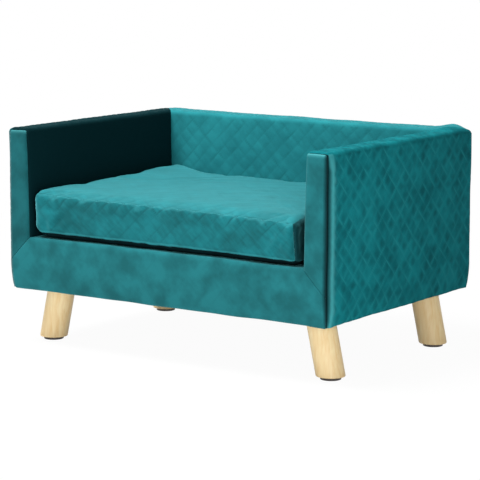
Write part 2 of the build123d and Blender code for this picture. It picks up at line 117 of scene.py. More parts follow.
# The quilting fades out where the largest part of the normal falls from one to the other
FLAT_FACING = (0.9, 0.99)
SHADE_MOST = 0.99
FRONT_SHADE_MOST = 0.9
FULLY_PAINTED_SHADE = 0.999

# Quilting: diamonds between two sets of lines, each set this far apart
QUILT = 20 * MM
QUILT_LINE = 1.5 * MM
QUILT_PUFF = 0.8 * MM
QUILT_PRESS = 0.4 * MM
QUILT_PATCH = 34 * MM
QUILT_HOLLOW = 0.28
QUILT_WANDER = 1.2 * MM
QUILT_FADE = 9 * MM
QUILT_FULL = 0.99
LINE_PATCH = (0.5, 0.6, 0.2)
HOLLOW_PATCH = (0.5, 0.7)
HOLLOW_MIDDLE = (0.3, 0.9)
STEP = QUILT * math.sqrt(2) / 10

# Cushion
CUSHION_LOW, CUSHION_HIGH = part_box("cushion_cover")
CUSHION_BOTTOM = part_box("cushion_base")[0].z
CUSHION_EDGE = 78 * MM
CUSHION_TOP = CUSHION_BOTTOM + CUSHION_EDGE
CUSHION_MIDDLE = (CUSHION_LOW.y + CUSHION_HIGH.y) / 2
CUSHION_HALF = (CUSHION_HIGH.y - CUSHION_LOW.y) / 2
CUSHION_ROLL = 15 * MM
CUSHION_CROWN = 5 * MM
CUSHION_SAG = 8 * MM
CUSHION_RIM = (3 * MM, 50 * MM)
CUSHION_SLUMP = (5 * MM, 45 * MM)
CUSHION_SLOPE = math.tan(math.radians(1.3))
CUSHION_DRAW = 4 * MM
CUSHION_LEFT_OUT = 4 * MM
CUSHION_RIGHT_IN = (5 * MM, 13 * MM)
CUSHION_FOOT = 15 * MM
CUSHION_SEAM = CUSHION_EDGE - 7 * MM
CUSHION_SEAM_ROLL = 2.2 * MM
CUSHION_UNDERCUT = 6.5 * MM
EDGE_QUILT = (3.2, 16 * MM)
TOP_STITCH = 3.6 * MM
TOP_STITCH_WIDTH = 0.9 * MM
CORNER_POINT = 4 * MM
CORNER_SEAM = 0.9 * MM
CORNER_SEAM_WIDTH = 2 * CORNER_SEAM
CORNER_RIDGE = 3 * CORNER_SEAM
SIDE_PAINTED_SHADE = 0.8
TOP_HIGHLIGHT = (0.22, 5 * MM, 5 * MM)
TOP_RAGGED = (1.4, 1.4 * QUILT)
TOP_QUILT, SIDE_QUILT = 0.35, 0.5
CORNER_FROM, CORNER_SHARE = 0.6, 30
BASE_LINES, FILLING_LINES = 8, 27
CUSHION_WEAR = (0.9, 0.5, 55 * MM)
CUSHION_WAVES = ((0.7 * MM, 110 * MM, 42), (0.35 * MM, 40 * MM, 43))
STITCH_RIDGE = 0.5 * MM
STITCH_HIGHLIGHT, RIDGE_HIGHLIGHT = 0.35, 0.4
STITCH_HIGHLIGHT_WIDTH = 1.6 * TOP_STITCH_WIDTH
UNDERCUT_RISE = (3 * MM, -6 * MM)

# Zip in the cushion's rear
ZIP_CENTRE = (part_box("zip_tapes")[0].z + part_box("zip_tapes")[1].z) / 2
ZIP_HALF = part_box("zip_coils")[1].x
ZIP_SLIT = 7 * MM
ZIP_ROLL = 1.2 * MM
ZIP_CLEAR = 1.6 * ZIP_ROLL

# Seeds of the random fields
BODY_SEED, HEM_SEED, WEAR_SEED, BAND_SEED = 20, 24, 31, 33
CUSHION_WEAR_SEED, TRIAL_SEED, HIGHLIGHT_SEED = 41, 44, 45
LINE_SEEDS, HOLLOW_SEED, WANDER_SEED = (51, 52), 53, 54
DUST_SEED, FOLD_SEED, LINING_SEED, TAPE_SEED = 71, 72, 73, 74


# Smooth shapes
def smooth(share):
    """A soft step: 0 below 0, 1 above 1, and three shares squared less two cubed between."""
    share = np.clip(share, 0, 1)
    return share * share * (3 - 2 * share)


def ramp(value, start, end):
    """A soft step that begins at one value and is full at another."""
    return smooth((value - start) / (end - start))


def dip(share):
    """How deep a quarter circle has gone at a share of its radius: one less the root of one less
    the share squared."""
    return 1 - np.sqrt(1 - share**2)


def bell(distance, width):
    """One at no distance, falling off as e to the minus distance over width, squared."""
    return np.exp(-((distance / width) ** 2))


def waves(points, length, seed, count=14):
    """A smooth random field from -1 to 1: the mean of sine waves about that long, each with its
    own direction and start, so that it runs on unbroken from one piece to the next."""
    draw = np.random.default_rng(seed)
    directions = draw.normal(size=(3, count))
    directions *= 2 * math.pi / (length * np.linalg.norm(directions, axis=0))
    starts = draw.uniform(0, 2 * math.pi, count)
    return np.sin(points @ directions + starts).sum(axis=-1) / math.sqrt(2 * count)


# Grids: how near, in steps, a place may lie to a panel's end and to an added place, and the
# points of a rolled end
END_GAP, ALSO_GAP = 0.3, 0.4
ROLL_TURNS = np.radians([0, 30, 60, 90])


def crossed(lines_a, lines_b):
    """The two coordinates of every point of a grid, from the places along its two sides."""
    return np.meshgrid(lines_a, lines_b, indexing="ij")


def spaced(start, end, rolls=(0.0, 0.0), also=(), step=STEP):
    """Places across a panel and how far each lies under its surface.

    Inside, the places are whole steps, so that the quilting's lines run through grid points. A
    rolled end, given its radius, follows a quarter circle down and then goes straight in."""
    first = math.ceil((start + rolls[0]) / step + END_GAP)
    last = math.floor((end - rolls[1]) / step - END_GAP)
    inner = np.arange(first, last + 1) * step
    for place in also:
        inner = np.append(inner[np.abs(inner - place) > ALSO_GAP * step], place)
    inner = np.sort(inner)
    ends = []
    for roll in rolls:
        if roll:
            away = np.append(0, roll * (1 - np.cos(ROLL_TURNS)))
            down = np.append(roll + SEAM_TUCK, roll * (1 - np.sin(ROLL_TURNS)))
            ends.append((away, down))
        else:
            ends.append((np.zeros(1), np.zeros(1)))
    places = np.concatenate([start + ends[0][0], inner, end - ends[1][0][::-1]])
    sinks = np.concatenate([ends[0][1], np.zeros(len(inner)), ends[1][1][::-1]])
    return places, sinks


def from_ends(a, b):
    """How far along the cloth each point of a grid lies from the nearest of its four ends."""
    ends = [(a[:1], b[:1]), (a[-1:], b[-1:]), (a[:, :1], b[:, :1]), (a[:, -1:], b[:, -1:])]
    return np.min([np.hypot(a - end_a, b - end_b) for end_a, end_b in ends], axis=0)


def quilting(a, b, points):
    """Height and lines of the diamond quilting at cloth coordinates a, b.

    With i = (a + b) / (1.41 pitch) and j = (a - b) / (1.41 pitch), a line runs at each whole i
    and j, pressed in as a bell and stronger in some patches than in others. A cell swells as
    the root of |sin(pi i) sin(pi j)|, and in its middle, here and there, it takes painted shade."""
    wander = QUILT_WANDER * waves(points, 2 * QUILT_PATCH, WANDER_SEED)
    i = (a + b + wander) / (math.sqrt(2) * QUILT)
    j = (a - b + wander) / (math.sqrt(2) * QUILT)
    lines = []
    for number, seed in zip((i, j), LINE_SEEDS):
        patch = LINE_PATCH[0] + LINE_PATCH[1] * waves(points, QUILT_PATCH, seed)
        patch = np.clip(patch, LINE_PATCH[2], 1)
        lines.append(patch * bell((number - np.round(number)) * QUILT, QUILT_LINE))
    line = np.maximum(*lines)
    middle = np.abs(np.sin(math.pi * i) * np.sin(math.pi * j))
    height = QUILT_PUFF * np.sqrt(middle) - QUILT_PRESS * line
    patch = HOLLOW_PATCH[0] + HOLLOW_PATCH[1] * waves(points, QUILT_PATCH, HOLLOW_SEED)
    return height, line, QUILT_HOLLOW * np.clip(patch, 0, 1) * ramp(middle, *HOLLOW_MIDDLE)


def grid_quads(grid, normal, keep=True):
    """The quads of a grid, with the points (i, j), (i+1, j), (i+1, j+1) and (i, j+1) as corners,
    turned over where that faces inwards. Only those of kept cells."""
    rows, columns = grid.shape[:2]
    index = np.arange(rows * columns).reshape(rows, columns)
    quad = np.stack([index[:-1, :-1], index[1:, :-1], index[1:, 1:], index[:-1, 1:]], -1)
    across = np.cross(np.diff(grid, axis=0)[:, :-1], np.diff(grid, axis=1)[:-1])
    if (across * normal[:-1, :-1]).sum() < 0:
        quad = quad[..., ::-1]
    return quad[np.broadcast_to(keep, quad.shape[:2])]


def add_object(name, data):
    """A new object in the scene."""
    made = bpy.data.objects.new(name, data)
    bpy.context.scene.collection.objects.link(made)
    return made


def cloth_grid(points, normal, a, b, marks=None, keep=True):
    """A grid: its points, normals, cloth coordinates and three marks, or none: how near a
    quilting line is, how much painted highlight it takes and how much painted shade, which in
    places also stands for pile turned away."""
    flat = np.stack([a, b], axis=-1)
    marks = np.zeros(points.shape) if marks is None else np.stack(marks, axis=-1)
    return {"points": points, "normal": normal, "flat": flat, "marks": marks, "keep": keep}


def mesh_object(name, grids, wall=0.0, merge=False):
    """One object from grids, with a wall inwards, its grids merged where they meet if asked for.
    Faces all of whose corners are wholly in painted shade get the second material."""
    starts = np.cumsum([0] + [grid["points"][..., 0].size for grid in grids])
    kept = [grid_quads(grid["points"], grid["normal"], grid["keep"]) for grid in grids]
    quads = np.concatenate([part + start for part, start in zip(kept, starts)])
    used, corners = np.unique(quads, return_inverse=True)
    quads = corners.reshape(quads.shape)
    points, flats, marks = (
        np.concatenate([grid[key].reshape(-1, grid[key].shape[-1]) for grid in grids])[used]
        for key in ("points", "flat", "marks")
    )
    mesh = bpy.data.meshes.new(name)
    mesh.from_pydata(points.tolist(), [], quads.tolist())
    attribute = mesh.attributes.new("marks", "FLOAT_VECTOR", "POINT")
    attribute.data.foreach_set("vector", marks.astype(np.float32).ravel())
    order = np.zeros(len(mesh.loops), np.int32)
    mesh.loops.foreach_get("vertex_index", order)
    layer = mesh.uv_layers.new(name="cloth")
    layer.data.foreach_set("uv", flats[order].astype(np.float32).ravel())
    mesh.polygons.foreach_set("use_smooth", np.ones(len(mesh.polygons), bool))
    turned = (marks[quads, 2] > FULLY_PAINTED_SHADE).all(axis=1)
    mesh.polygons.foreach_set("material_index", turned.astype(np.int32))
    made = add_object(name, mesh)
    if merge:
        made.modifiers.new("weld", "WELD").merge_threshold = MERGE
    if wall:
        inwards = made.modifiers.new("wall", "SOLIDIFY")
        inwards.thickness, inwards.offset = wall, -1
    return made


# The body's rounded block
def rounded(points, low, high, radius=EDGE):
    """Points of a sharp block moved to the rounded one: the nearest point of the block drawn in
    by the radius, then out by the radius along the line from there."""
    core = np.clip(points, np.array(low) + radius, np.array(high) - radius)
    away = points - core
    normal = away / np.linalg.norm(away, axis=-1, keepdims=True)
    return core + radius * normal, normal


def hemmed(points, normal, height):
    """Draws the lower edge of the outside in.

    Below the hem's top the inset grows as a circle's, then turns a quarter round and runs level
    under the base, where height is negative: how far the cloth is turned under."""
    reach = np.clip(HEM_HEIGHT - np.maximum(height, HEM_ROUND), 0, None)
    inset = HEM_RADIUS - np.sqrt(HEM_RADIUS**2 - reach**2)
    turn = np.clip(1 - height / HEM_ROUND, 0, 1) * math.pi / 2
    inset = inset + HEM_ROUND * (1 - np.cos(turn)) + np.clip(-height, 0, None)
    half = np.array([HALF_WIDTH, HALF_DEPTH])
    plan = points[..., :2]
    core = np.clip(plan, EDGE - half, half - EDGE)
    limit = half - np.maximum(inset, EDGE)[..., None]
    left = np.maximum(1 - inset / EDGE, 0)[..., None]
    moved = np.clip(core, -limit, limit) + (plan - core) * left
    level = np.where(height < HEM_ROUND, HEM_ROUND * (1 - np.sin(turn)), height) + UNDERSIDE
    level = np.where(height < HEM_HEIGHT, level, points[..., 2])
    points = np.concatenate([moved, level[..., None]], axis=-1)
    tilt = np.concatenate(
        [normal[..., :2] * np.cos(turn)[..., None], (normal[..., 2] - np.sin(turn))[..., None]], -1
    )
    return points, tilt / np.linalg.norm(tilt, axis=-1, keepdims=True)


def front_surface(x, z):
    """The front face of rail and arms. Each edge nearer than the edge round leans the surface
    towards it; by the well the lean points straight at the nearest point of the well."""
    across = np.abs(x)
    beyond = np.maximum(across - WELL_HALF, 0)
    below = np.maximum(SEAT - z, 0)
    gap = np.maximum(np.hypot(beyond, below), TINY)
    pull = np.maximum(EDGE - gap, 0) / gap
    lean_x = np.maximum(EDGE - (HALF_WIDTH - across), 0) - pull * beyond
    lean_z = np.maximum(EDGE - (TOP - z), 0) + pull * below
    side = np.sign(x)
    front = np.full_like(x, EDGE - HALF_DEPTH)
    core = np.stack([side * (across - lean_x), front, z - lean_z], axis=-1)
    away = np.stack([side * lean_x, np.full_like(x, -EDGE), lean_z], axis=-1)
    normal = away / np.linalg.norm(away, axis=-1, keepdims=True)
    return core + EDGE * normal, normal


def settled(points):
    """The body's own unevenness, the same for pieces that meet.

    Slow waves in all directions; arms that are a little thinner at the top, inside; rear top
    corners, the right one most, that stand up a little before they drop at the very corner; a
    wavy lower edge that hangs a little."""
    moved = points.copy()
    for axis in range(3):
        moved[..., axis] += SOFT_WAVE * waves(points, SOFT_WAVE_LENGTH, BODY_SEED + axis)
    x, y, z = np.moveaxis(points, -1, 0)
    across = np.abs(x)
    rise = np.clip((z - SEAT) / (TOP - SEAT), 0, 1)
    inside = np.minimum(across / WELL_HALF, (HALF_WIDTH - across) / ARM)
    moved[..., 0] += np.sign(x) * ARM_LEAN * rise * np.clip(inside, 0, 1)
    from_side, from_rear = HALF_WIDTH - across, HALF_DEPTH - y
    apex = bell(from_side - REAR_APEX_FROM_CORNER, REAR_APEX_WIDTH) * bell(from_rear, ARM)
    drop = bell(np.hypot(from_side, from_rear), REAR_DROP_WIDTH)
    stand = (REAR_APEX * apex - REAR_DROP * drop) * rise**6
    moved[..., 2] += stand * np.where(x > 0, 1, REAR_LEFT)
    inwards = np.minimum(from_side, HALF_DEPTH - np.abs(y))
    low = smooth(1 - (z - UNDERSIDE) / HEM_HEIGHT) * smooth(1 - inwards / HEM_WAVE_REACH)
    moved[..., 2] += low * (HEM_WAVE * waves(points, HEM_WAVE_LENGTH, HEM_SEED) - HEM_SAG)
    return moved


def cloth(points, normal, a, b, sink=0.0, quilt=1.0, crown=0.0, painted_highlight=0.0, turned=0.0):
    """A grid of cloth from its plain surface: the body's unevenness, its own fullness, which is
    more where it faces outwards, its crown, the quilting, which fades out towards seams and
    round edges, and rolled edges, with painted shade down in the seam. Turned under the base it
    lies plain and flat."""
    height, line, hollow = quilting(a, b, points)
    sink = sink + 0 * a
    flatness = ramp(np.abs(normal).max(axis=-1), *FLAT_FACING)
    share = quilt * flatness * smooth(from_ends(a, b) / QUILT_FADE)
    worn = WEAR[0] + WEAR[1] * waves(points, WEAR[2], WEAR_SEED)
    level = np.clip(1 + normal[..., 2], 0, 1)
    outward = np.clip((normal * np.sign(points + [0, 0, FAR])).max(axis=-1), 0, 1)
    full = FULLNESS + OUTER_FULLNESS * outward
    relief = level * (full + crown + share * worn * height) - sink
    # Painted shade in the cell middles, only where the quilting is full
    line = share * (line - hollow * (quilt > QUILT_FULL))
    # Painted shade down in seams, together with the dark marks passed in
    shade = np.maximum(np.minimum(ramp(sink, *SEAM_SHADE), SHADE_MOST), turned)
    placed = settled(points) + normal * relief[..., None]
    return cloth_grid(placed, normal, a, b, [line, painted_highlight + 0 * a, shade])


def front_shade(from_seam):
    """How far the cloth is in shade by the wide seam down the sofa's front corners."""
    return FRONT_SHADE_MOST * ramp(from_seam, *FRONT_SHADE[::-1])


def bulge(share_a, share_b):
    """The crown of a padded face: full in the middle, none along its edges."""
    return PANEL_CROWN * (1 - share_a**4) * (1 - share_b**4)


def make_padding(name, surface, ends_a, ends_b):
    """Foam under a cover, between the ends of its two ranges."""
    a, b = crossed(*(spaced(*ends, step=PAD_STEP)[0] for ends in (ends_a, ends_b)))
    points, normal = surface(a, b)[:2]
    return mesh_object(name, [cloth_grid(settled(points), normal, a, b)], PAD_THICKNESS)


# Arm covers: from under the base up the outside, over the top and down the inside
def arm_surface(side, a, b, inset=0.0):
    """The arm's sharp section unrolled as a, and its length as b. On top and inside, the length
    ends on the mitre with the back, so it is shortened there in proportion."""
    sharp_x = np.interp(a, [SIDE_HEIGHT, SIDE_HEIGHT + ARM], [HALF_WIDTH, WELL_HALF])
    over = [-FAR, SIDE_HEIGHT, SIDE_HEIGHT + ARM, SIDE_HEIGHT + ARM + FAR]
    sharp_z = np.interp(a, over, [UNDERSIDE - FAR, TOP, TOP, TOP - FAR])
    low, high = (WELL_HALF, -HALF_DEPTH, -FAR), (HALF_WIDTH, HALF_DEPTH, TOP)
    section, _ = rounded(np.stack([sharp_x, 0 * a, sharp_z], -1), low, high)
    mitre_x = np.where(sharp_x > (HALF_WIDTH + WELL_HALF) / 2, sharp_x, section[..., 0])
    rear = np.interp(mitre_x, [WELL_HALF, HALF_WIDTH], [WELL_REAR, HALF_DEPTH])
    y = -HALF_DEPTH + (b + HALF_DEPTH) * (rear + HALF_DEPTH) / (2 * HALF_DEPTH)
    points, normal = rounded(np.stack([sharp_x, y, sharp_z], -1), low, high)
    outside = a < SIDE_HEIGHT - EDGE
    hem_points, hem_normal = hemmed(points, normal, np.where(outside, a, HEM_HEIGHT))
    points = np.where(outside[..., None], hem_points, points)
    normal = np.where(outside[..., None], hem_normal, normal)
    points = points - inset * normal
    mirror = np.array([side, 1, 1])
    return points * mirror, normal * mirror, y


def make_arm_cover(side, name, painted_dark_from):
    """The front edge rolls into its seam, widely on the outside and less towards the top, and the
    roll carries a painted highlight. From the given place across the top on, the cloth is painted
    dark, as pile turned away and as painted shade. Outside, it has painted shade in the front
    seam and towards the rear."""
    lines_a, _ = spaced(-UNDER_TURN, OVER_ARM)
    lines_b, sink_b = spaced(-HALF_DEPTH, HALF_DEPTH, (FRONT_ROLL, MITRE_ROLL))
    a, b = crossed(lines_a, lines_b)
    width = np.interp(a, [SIDE_HEIGHT - FRONT_ROLL_TAPER, SIDE_HEIGHT], [1, FRONT_ROLL_TOP])
    near = b < -HALF_DEPTH + FRONT_ROLL + TINY
    sink = np.where(near, sink_b * width, sink_b)
    b = np.where(near, -HALF_DEPTH + (b + HALF_DEPTH) * width, b)
    points, normal, y = arm_surface(side, a, b)
    inside = a > SIDE_HEIGHT + ARM + EDGE
    points[:, -1, 1] += SEAM_TUCK * inside[:, -1]
    points[:, 0, 0] -= side * SEAM_TUCK * (a[:, 0] < SIDE_HEIGHT)
    outside = a < SIDE_HEIGHT
    crown = np.where(outside, bulge(np.clip(2 * a / SIDE_HEIGHT - 1, -1, 1), b / HALF_DEPTH), 0)
    from_seam = b + HALF_DEPTH
    # Painted highlight: a pale band along the rolled front edge outside, its edge ragged
    ragged = 1 + BAND_RAGGED[0] * waves(points, BAND_RAGGED[1], BAND_SEED)
    highlight_band = bell(np.maximum(from_seam - FRONT_ROLL, 0), FRONT_BAND * width * ragged) * outside
    crown = crown + FRONT_SWELL[0] * width * bell(from_seam - FRONT_SWELL[1], FRONT_SWELL[2])
    # Painted shade: outside, darker towards the rear and down in the wide front seam
    laid = REAR_PAINTED_SHADE * smooth(0.5 + y / (2 * HALF_DEPTH))
    laid = np.maximum(width * front_shade(from_seam), laid) * outside
    # Painted dark from the given place on: pile turned away and painted shade
    turned = np.maximum(ramp(a - painted_dark_from, *PAINTED_DARK_BLEND), laid)
    quilt = np.where(a < SIDE_HEIGHT + ARM, 1, INSIDE_QUILT)
    grid = cloth(points, normal, a, y, sink, quilt, crown, BAND_HIGHLIGHT * highlight_band, turned)
    return mesh_object(name, [grid], CLOTH)


# Arm fronts: narrow strips, mitred at the foot into the rail
def make_arm_front(side, name):
    lines_x, sink_x = spaced(WELL_HALF + TINY, HALF_WIDTH, (SEAM_ROLL, FRONT_ROLL))
    lines_t, sink_t = spaced(0, RISE + ARM, (MITRE_ROLL, SEAM_ROLL))
    x, t = crossed(lines_x, lines_t / (RISE + ARM))
    foot = SEAT - (x - WELL_HALF)
    z = foot + (TOP - foot) * t
    points, normal = front_surface(side * x, z)
    sink = sink_x[:, None] + sink_t[None, :]
    crown = bulge((x - WELL_HALF) / ARM * 2 - 1, 2 * t - 1)
    # Painted highlight along the strip's top edge, and painted shade in the front seam that fades
    # out near the top
    painted_highlight = STRIP_TOP_HIGHLIGHT[0] * bell(TOP - z, STRIP_TOP_HIGHLIGHT[1])
    shade = smooth((TOP - z) / FRONT_ROLL_TAPER + STRIP_TOP_SHADE) * front_shade(HALF_WIDTH - x)
    # Painted shade: the left strip is darker all over
    shade = np.maximum(shade, LEFT_STRIP_PAINTED_SHADE * (side < 0))
    grid = cloth(points, normal, x, z, sink, PLAIN_QUILT, crown, painted_highlight, shade)
    return mesh_object(name, [grid], CLOTH)


# Front rail: from under the base up the face; between the arms on over the edge to the deck
def make_front_rail(name):
    ends = (-WELL_HALF, WELL_HALF)
    lines_x, sink_x = spaced(-HALF_WIDTH, HALF_WIDTH, (FRONT_ROLL, FRONT_ROLL), also=ends)
    lines_h, _ = spaced(-UNDER_TURN, RAIL_HEIGHT - TINY)
    x, h = crossed(lines_x, lines_h)
    beyond = np.maximum(np.abs(x) - WELL_HALF, 0)
    height = np.where(h > 0, h * (RAIL_HEIGHT - beyond) / RAIL_HEIGHT, h)
    points, normal = front_surface(x, UNDERSIDE + height)
    points, normal = hemmed(points, normal, height)
    from_mitre = (RAIL_HEIGHT - h) * (1 - beyond / RAIL_HEIGHT)
    roll = np.clip(MITRE_ROLL - from_mitre, 0, None) / MITRE_ROLL
    mitre_sink = MITRE_ROLL * dip(np.minimum(roll, 1)) * (beyond > 0)
    mitre_sink[:, -1] += SEAM_TUCK * (beyond[:, -1] > 0)
    sink = sink_x[:, None] + mitre_sink
    crown = bulge(x / HALF_WIDTH, np.clip(2 * h / RAIL_HEIGHT - 1, -1, 1))
    shade = front_shade(HALF_WIDTH - np.abs(x))
    face = cloth(points, normal, x, height, sink, PLAIN_QUILT, crown, turned=shade)

    between = np.abs(lines_x) <= WELL_HALF + TINY
    lines_d, _ = spaced(RAIL_HEIGHT - TINY, RAIL_HEIGHT + RAIL_TURN)
    x, d = crossed(lines_x[between], lines_d)
    sharp = np.stack([x, d - RAIL_HEIGHT - HALF_DEPTH, np.full_like(x, SEAT)], axis=-1)
    points, normal = rounded(sharp, (-FAR, -HALF_DEPTH, -FAR), (FAR, FAR, SEAT))
    flat = -(FULLNESS + OUTER_FULLNESS) * smooth((d - RAIL_HEIGHT) / EDGE)
    over = cloth(points, normal, x, d, 0 * x, PLAIN_QUILT, flat)
    return mesh_object(name, [face, over], CLOTH, merge=True)


def rail_padding_surface(x, height):
    """The rail's face, drawn in by the padding's depth."""
    points, normal = hemmed(*front_surface(x, UNDERSIDE + height), height)
    return points - PAD_DEPTH * normal, normal


# Back cover: up the inner face and over the top, mitred into the arms
def back_surface(a, b, inset=0.0):
    """The back's section unrolled as b, from the seat up, and its width as a, which reaches the
    mitre with each arm."""
    sharp_y = np.interp(b, [RISE, OVER_BACK], [WELL_REAR, HALF_DEPTH])
    sharp_z = np.minimum(SEAT + b, TOP)
    low, high = (-HALF_WIDTH, WELL_REAR, -FAR), (HALF_WIDTH, HALF_DEPTH, TOP)
    section, _ = rounded(np.stack([0 * b, sharp_y, sharp_z], -1), low, high)
    mitre_y = np.where(sharp_y > (WELL_REAR + HALF_DEPTH) / 2, sharp_y, section[..., 1])
    reach = np.interp(mitre_y, [WELL_REAR, HALF_DEPTH], [WELL_HALF, HALF_WIDTH])
    x = a * reach / WELL_HALF
    points, normal = rounded(np.stack([x, sharp_y, sharp_z], -1), low, high)
    return points - inset * normal, normal, x


def make_back_cover(name):
    """A mitre at each end of the top, and the face's ends tucked behind the arms."""
    lines_a, sink_a = spaced(-WELL_HALF, WELL_HALF, (MITRE_ROLL, MITRE_ROLL))
    lines_b, sink_b = spaced(0, OVER_BACK, (0, MITRE_ROLL))
    a, b = crossed(lines_a, lines_b)
    points, normal, x = back_surface(a, b)
    facing = b < RISE - EDGE
    points[0, :, 0] -= SEAM_TUCK * facing[0]
    points[-1, :, 0] += SEAM_TUCK * facing[-1]
    sink = sink_a[:, None] + sink_b[None, :]
    crown = bulge(a / WELL_HALF, np.clip(2 * b / RISE - 1, -1, 1))
    return mesh_object(name, [cloth(points, normal, x, b, sink, BACK_QUILT, crown)], CLOTH)


# Outer back: one flat panel with the hem below
def outer_back_surface(x, height):
    """The rounded block's rear face by its width and height, with the hem drawn in."""
    sharp = np.stack([x, np.full_like(x, HALF_DEPTH), UNDERSIDE + height], axis=-1)
    points, normal = rounded(sharp, (-HALF_WIDTH, -FAR, -FAR), (HALF_WIDTH, HALF_DEPTH, TOP))
    hem_points, hem_normal = hemmed(points, normal, height)
    low = (height < SIDE_HEIGHT - EDGE)[..., None]
    return np.where(low, hem_points, points), np.where(low, hem_normal, normal)


def make_outer_back(name):
    """The rear panel, seamed to the arms and the top and turned under the base."""
    lines_x, sink_x = spaced(-HALF_WIDTH, HALF_WIDTH, (SEAM_ROLL, SEAM_ROLL))
    lines_h, sink_h = spaced(-UNDER_TURN, SIDE_HEIGHT, (0, SEAM_ROLL))
    x, height = crossed(lines_x, lines_h)
    points, normal = outer_back_surface(x, height)
    sink = sink_x[:, None] + sink_h[None, :]
    crown = bulge(x / HALF_WIDTH, np.clip(2 * height / SIDE_HEIGHT - 1, -1, 1))
    return mesh_object(name, [cloth(points, normal, x, height, sink, 1.0, crown)], CLOTH)


# Seat cushion
CUSHION_FACES = ("top", "bottom", "front", "rear", "left", "right")


def cushion_block(face, u, v):
    """Points of the cushion's sharp block. On top and bottom, u and v are x and y; on a side, u
    runs along it and v is the depth below the top."""
    place = {
        "top": (u, v, CUSHION_TOP + 0 * u),
        "bottom": (u, v, CUSHION_BOTTOM + 0 * u),
        "front": (u, CUSHION_LOW.y + 0 * u, CUSHION_TOP - v),
        "rear": (u, CUSHION_HIGH.y + 0 * u, CUSHION_TOP - v),
        "left": (-CUSHION_HIGH.x + 0 * u, u, CUSHION_TOP - v),
        "right": (CUSHION_HIGH.x + 0 * u, u, CUSHION_TOP - v),
    }
    return np.stack(place[face], axis=-1)


def cushion_ends(face):
    """The ranges of u and v on a face."""
    along_x = (-CUSHION_HIGH.x, CUSHION_HIGH.x)
    along_y = (CUSHION_LOW.y, CUSHION_HIGH.y)
    if face in ("top", "bottom"):
        return along_x, along_y
    return (along_x if face in ("front", "rear") else along_y), (0, CUSHION_EDGE)


def cushion_surface(points):
    """A sharp block turned into the sewn cushion: rounded, drawn in between its corners at the
    front and the sides, its top crowned, with a rim along the left, sagging to the rear and
    slumping at the right front, its top corners pointed. At the front it lies a little to the
    left, less filled at the right and round at the left foot, and its sides go in below the
    lower seam."""
    low = (-CUSHION_HIGH.x, CUSHION_LOW.y, CUSHION_BOTTOM)
    high = (CUSHION_HIGH.x, CUSHION_HIGH.y, CUSHION_TOP)
    placed, normal = rounded(points, low, high, CUSHION_ROLL)
    across = np.clip(placed[..., 0] / high[0], -1, 1)
    along = np.clip((placed[..., 1] - CUSHION_MIDDLE) / CUSHION_HALF, -1, 1)
    rise = (placed[..., 2] - low[2]) / CUSHION_EDGE
    front = (1 - along) / 2
    right_in = CUSHION_RIGHT_IN[0] + (CUSHION_RIGHT_IN[1] - CUSHION_RIGHT_IN[0]) * rise
    above = placed[..., 2] - (CUSHION_TOP - CUSHION_SEAM)
    foot = np.clip(1 - above / CUSHION_FOOT, 0, 1)
    left_in = CUSHION_FOOT * dip(foot) * np.clip(-across, 0, 1) ** 5
    undercut = CUSHION_UNDERCUT * ramp(above, *UNDERCUT_RISE)
    placed[..., 0] *= 1 - CUSHION_DRAW / high[0] * (1 - along**2)
    placed[..., 0] -= front * np.clip(across, 0, 1) ** 3 * right_in
    placed[..., 0] -= front * (np.clip(-across, 0, 1) ** 3 * CUSHION_LEFT_OUT - left_in)
    placed[..., 0] -= undercut * normal[..., 0]
    placed[..., 1] += CUSHION_DRAW * (1 - across**2) * np.clip(-along, 0, 1) ** 3
    placed[..., 1] -= undercut * np.minimum(normal[..., 1], 0)
    crown = CUSHION_CROWN * (1 - np.abs(across) ** 3) * (1 - np.abs(along) ** 3)
    rim = bell(1 + across, CUSHION_RIM[1] / high[0])
    sag = CUSHION_SAG * smooth((1 + along) / 2) * (1 - rim)
    reach = np.clip(1 - (placed[..., 1] - low[1]) / CUSHION_SLUMP[1], 0, 1)
    slump = CUSHION_SLUMP[0] * reach**2 * (1 + across) / 2
    lift = CUSHION_SLOPE * CUSHION_HALF * along + CUSHION_RIM[0] * rim - sag - slump
    placed[..., 2] += rise * (lift + crown)
    corner = (np.abs(across) * np.abs(along)) ** CORNER_SHARE * np.clip(2 * rise - 1, 0, 1)
    placed += normal * (CORNER_POINT * corner)[..., None]
    return placed, normal


# The cushion's filling pushes its cloth out, worked out on a coarse closed shell
TRIAL_STEP = 9 * MM
TRIAL_FRAMES = 20
TRIAL_CLOTH = {
    "quality": 6,
    "mass": 0.3,
    "bending_stiffness": 0.3,
    "shrink_min": -0.02,
    "use_pressure": True,
    "uniform_pressure_force": 1.4,
}
TRIAL_CAP = 4 * MM
TRIAL_GIVE = 1.5 * MM
TRIAL_START = (0.8 * MM, 60 * MM)
TRIAL_SEWN = 0.01 * MM


def trial_lines(face):
    """Evenly spaced places along both ranges of a face."""
    return [
        np.linspace(low, high, 1 + round((high - low) / TRIAL_STEP))
        for low, high in cushion_ends(face)
    ]


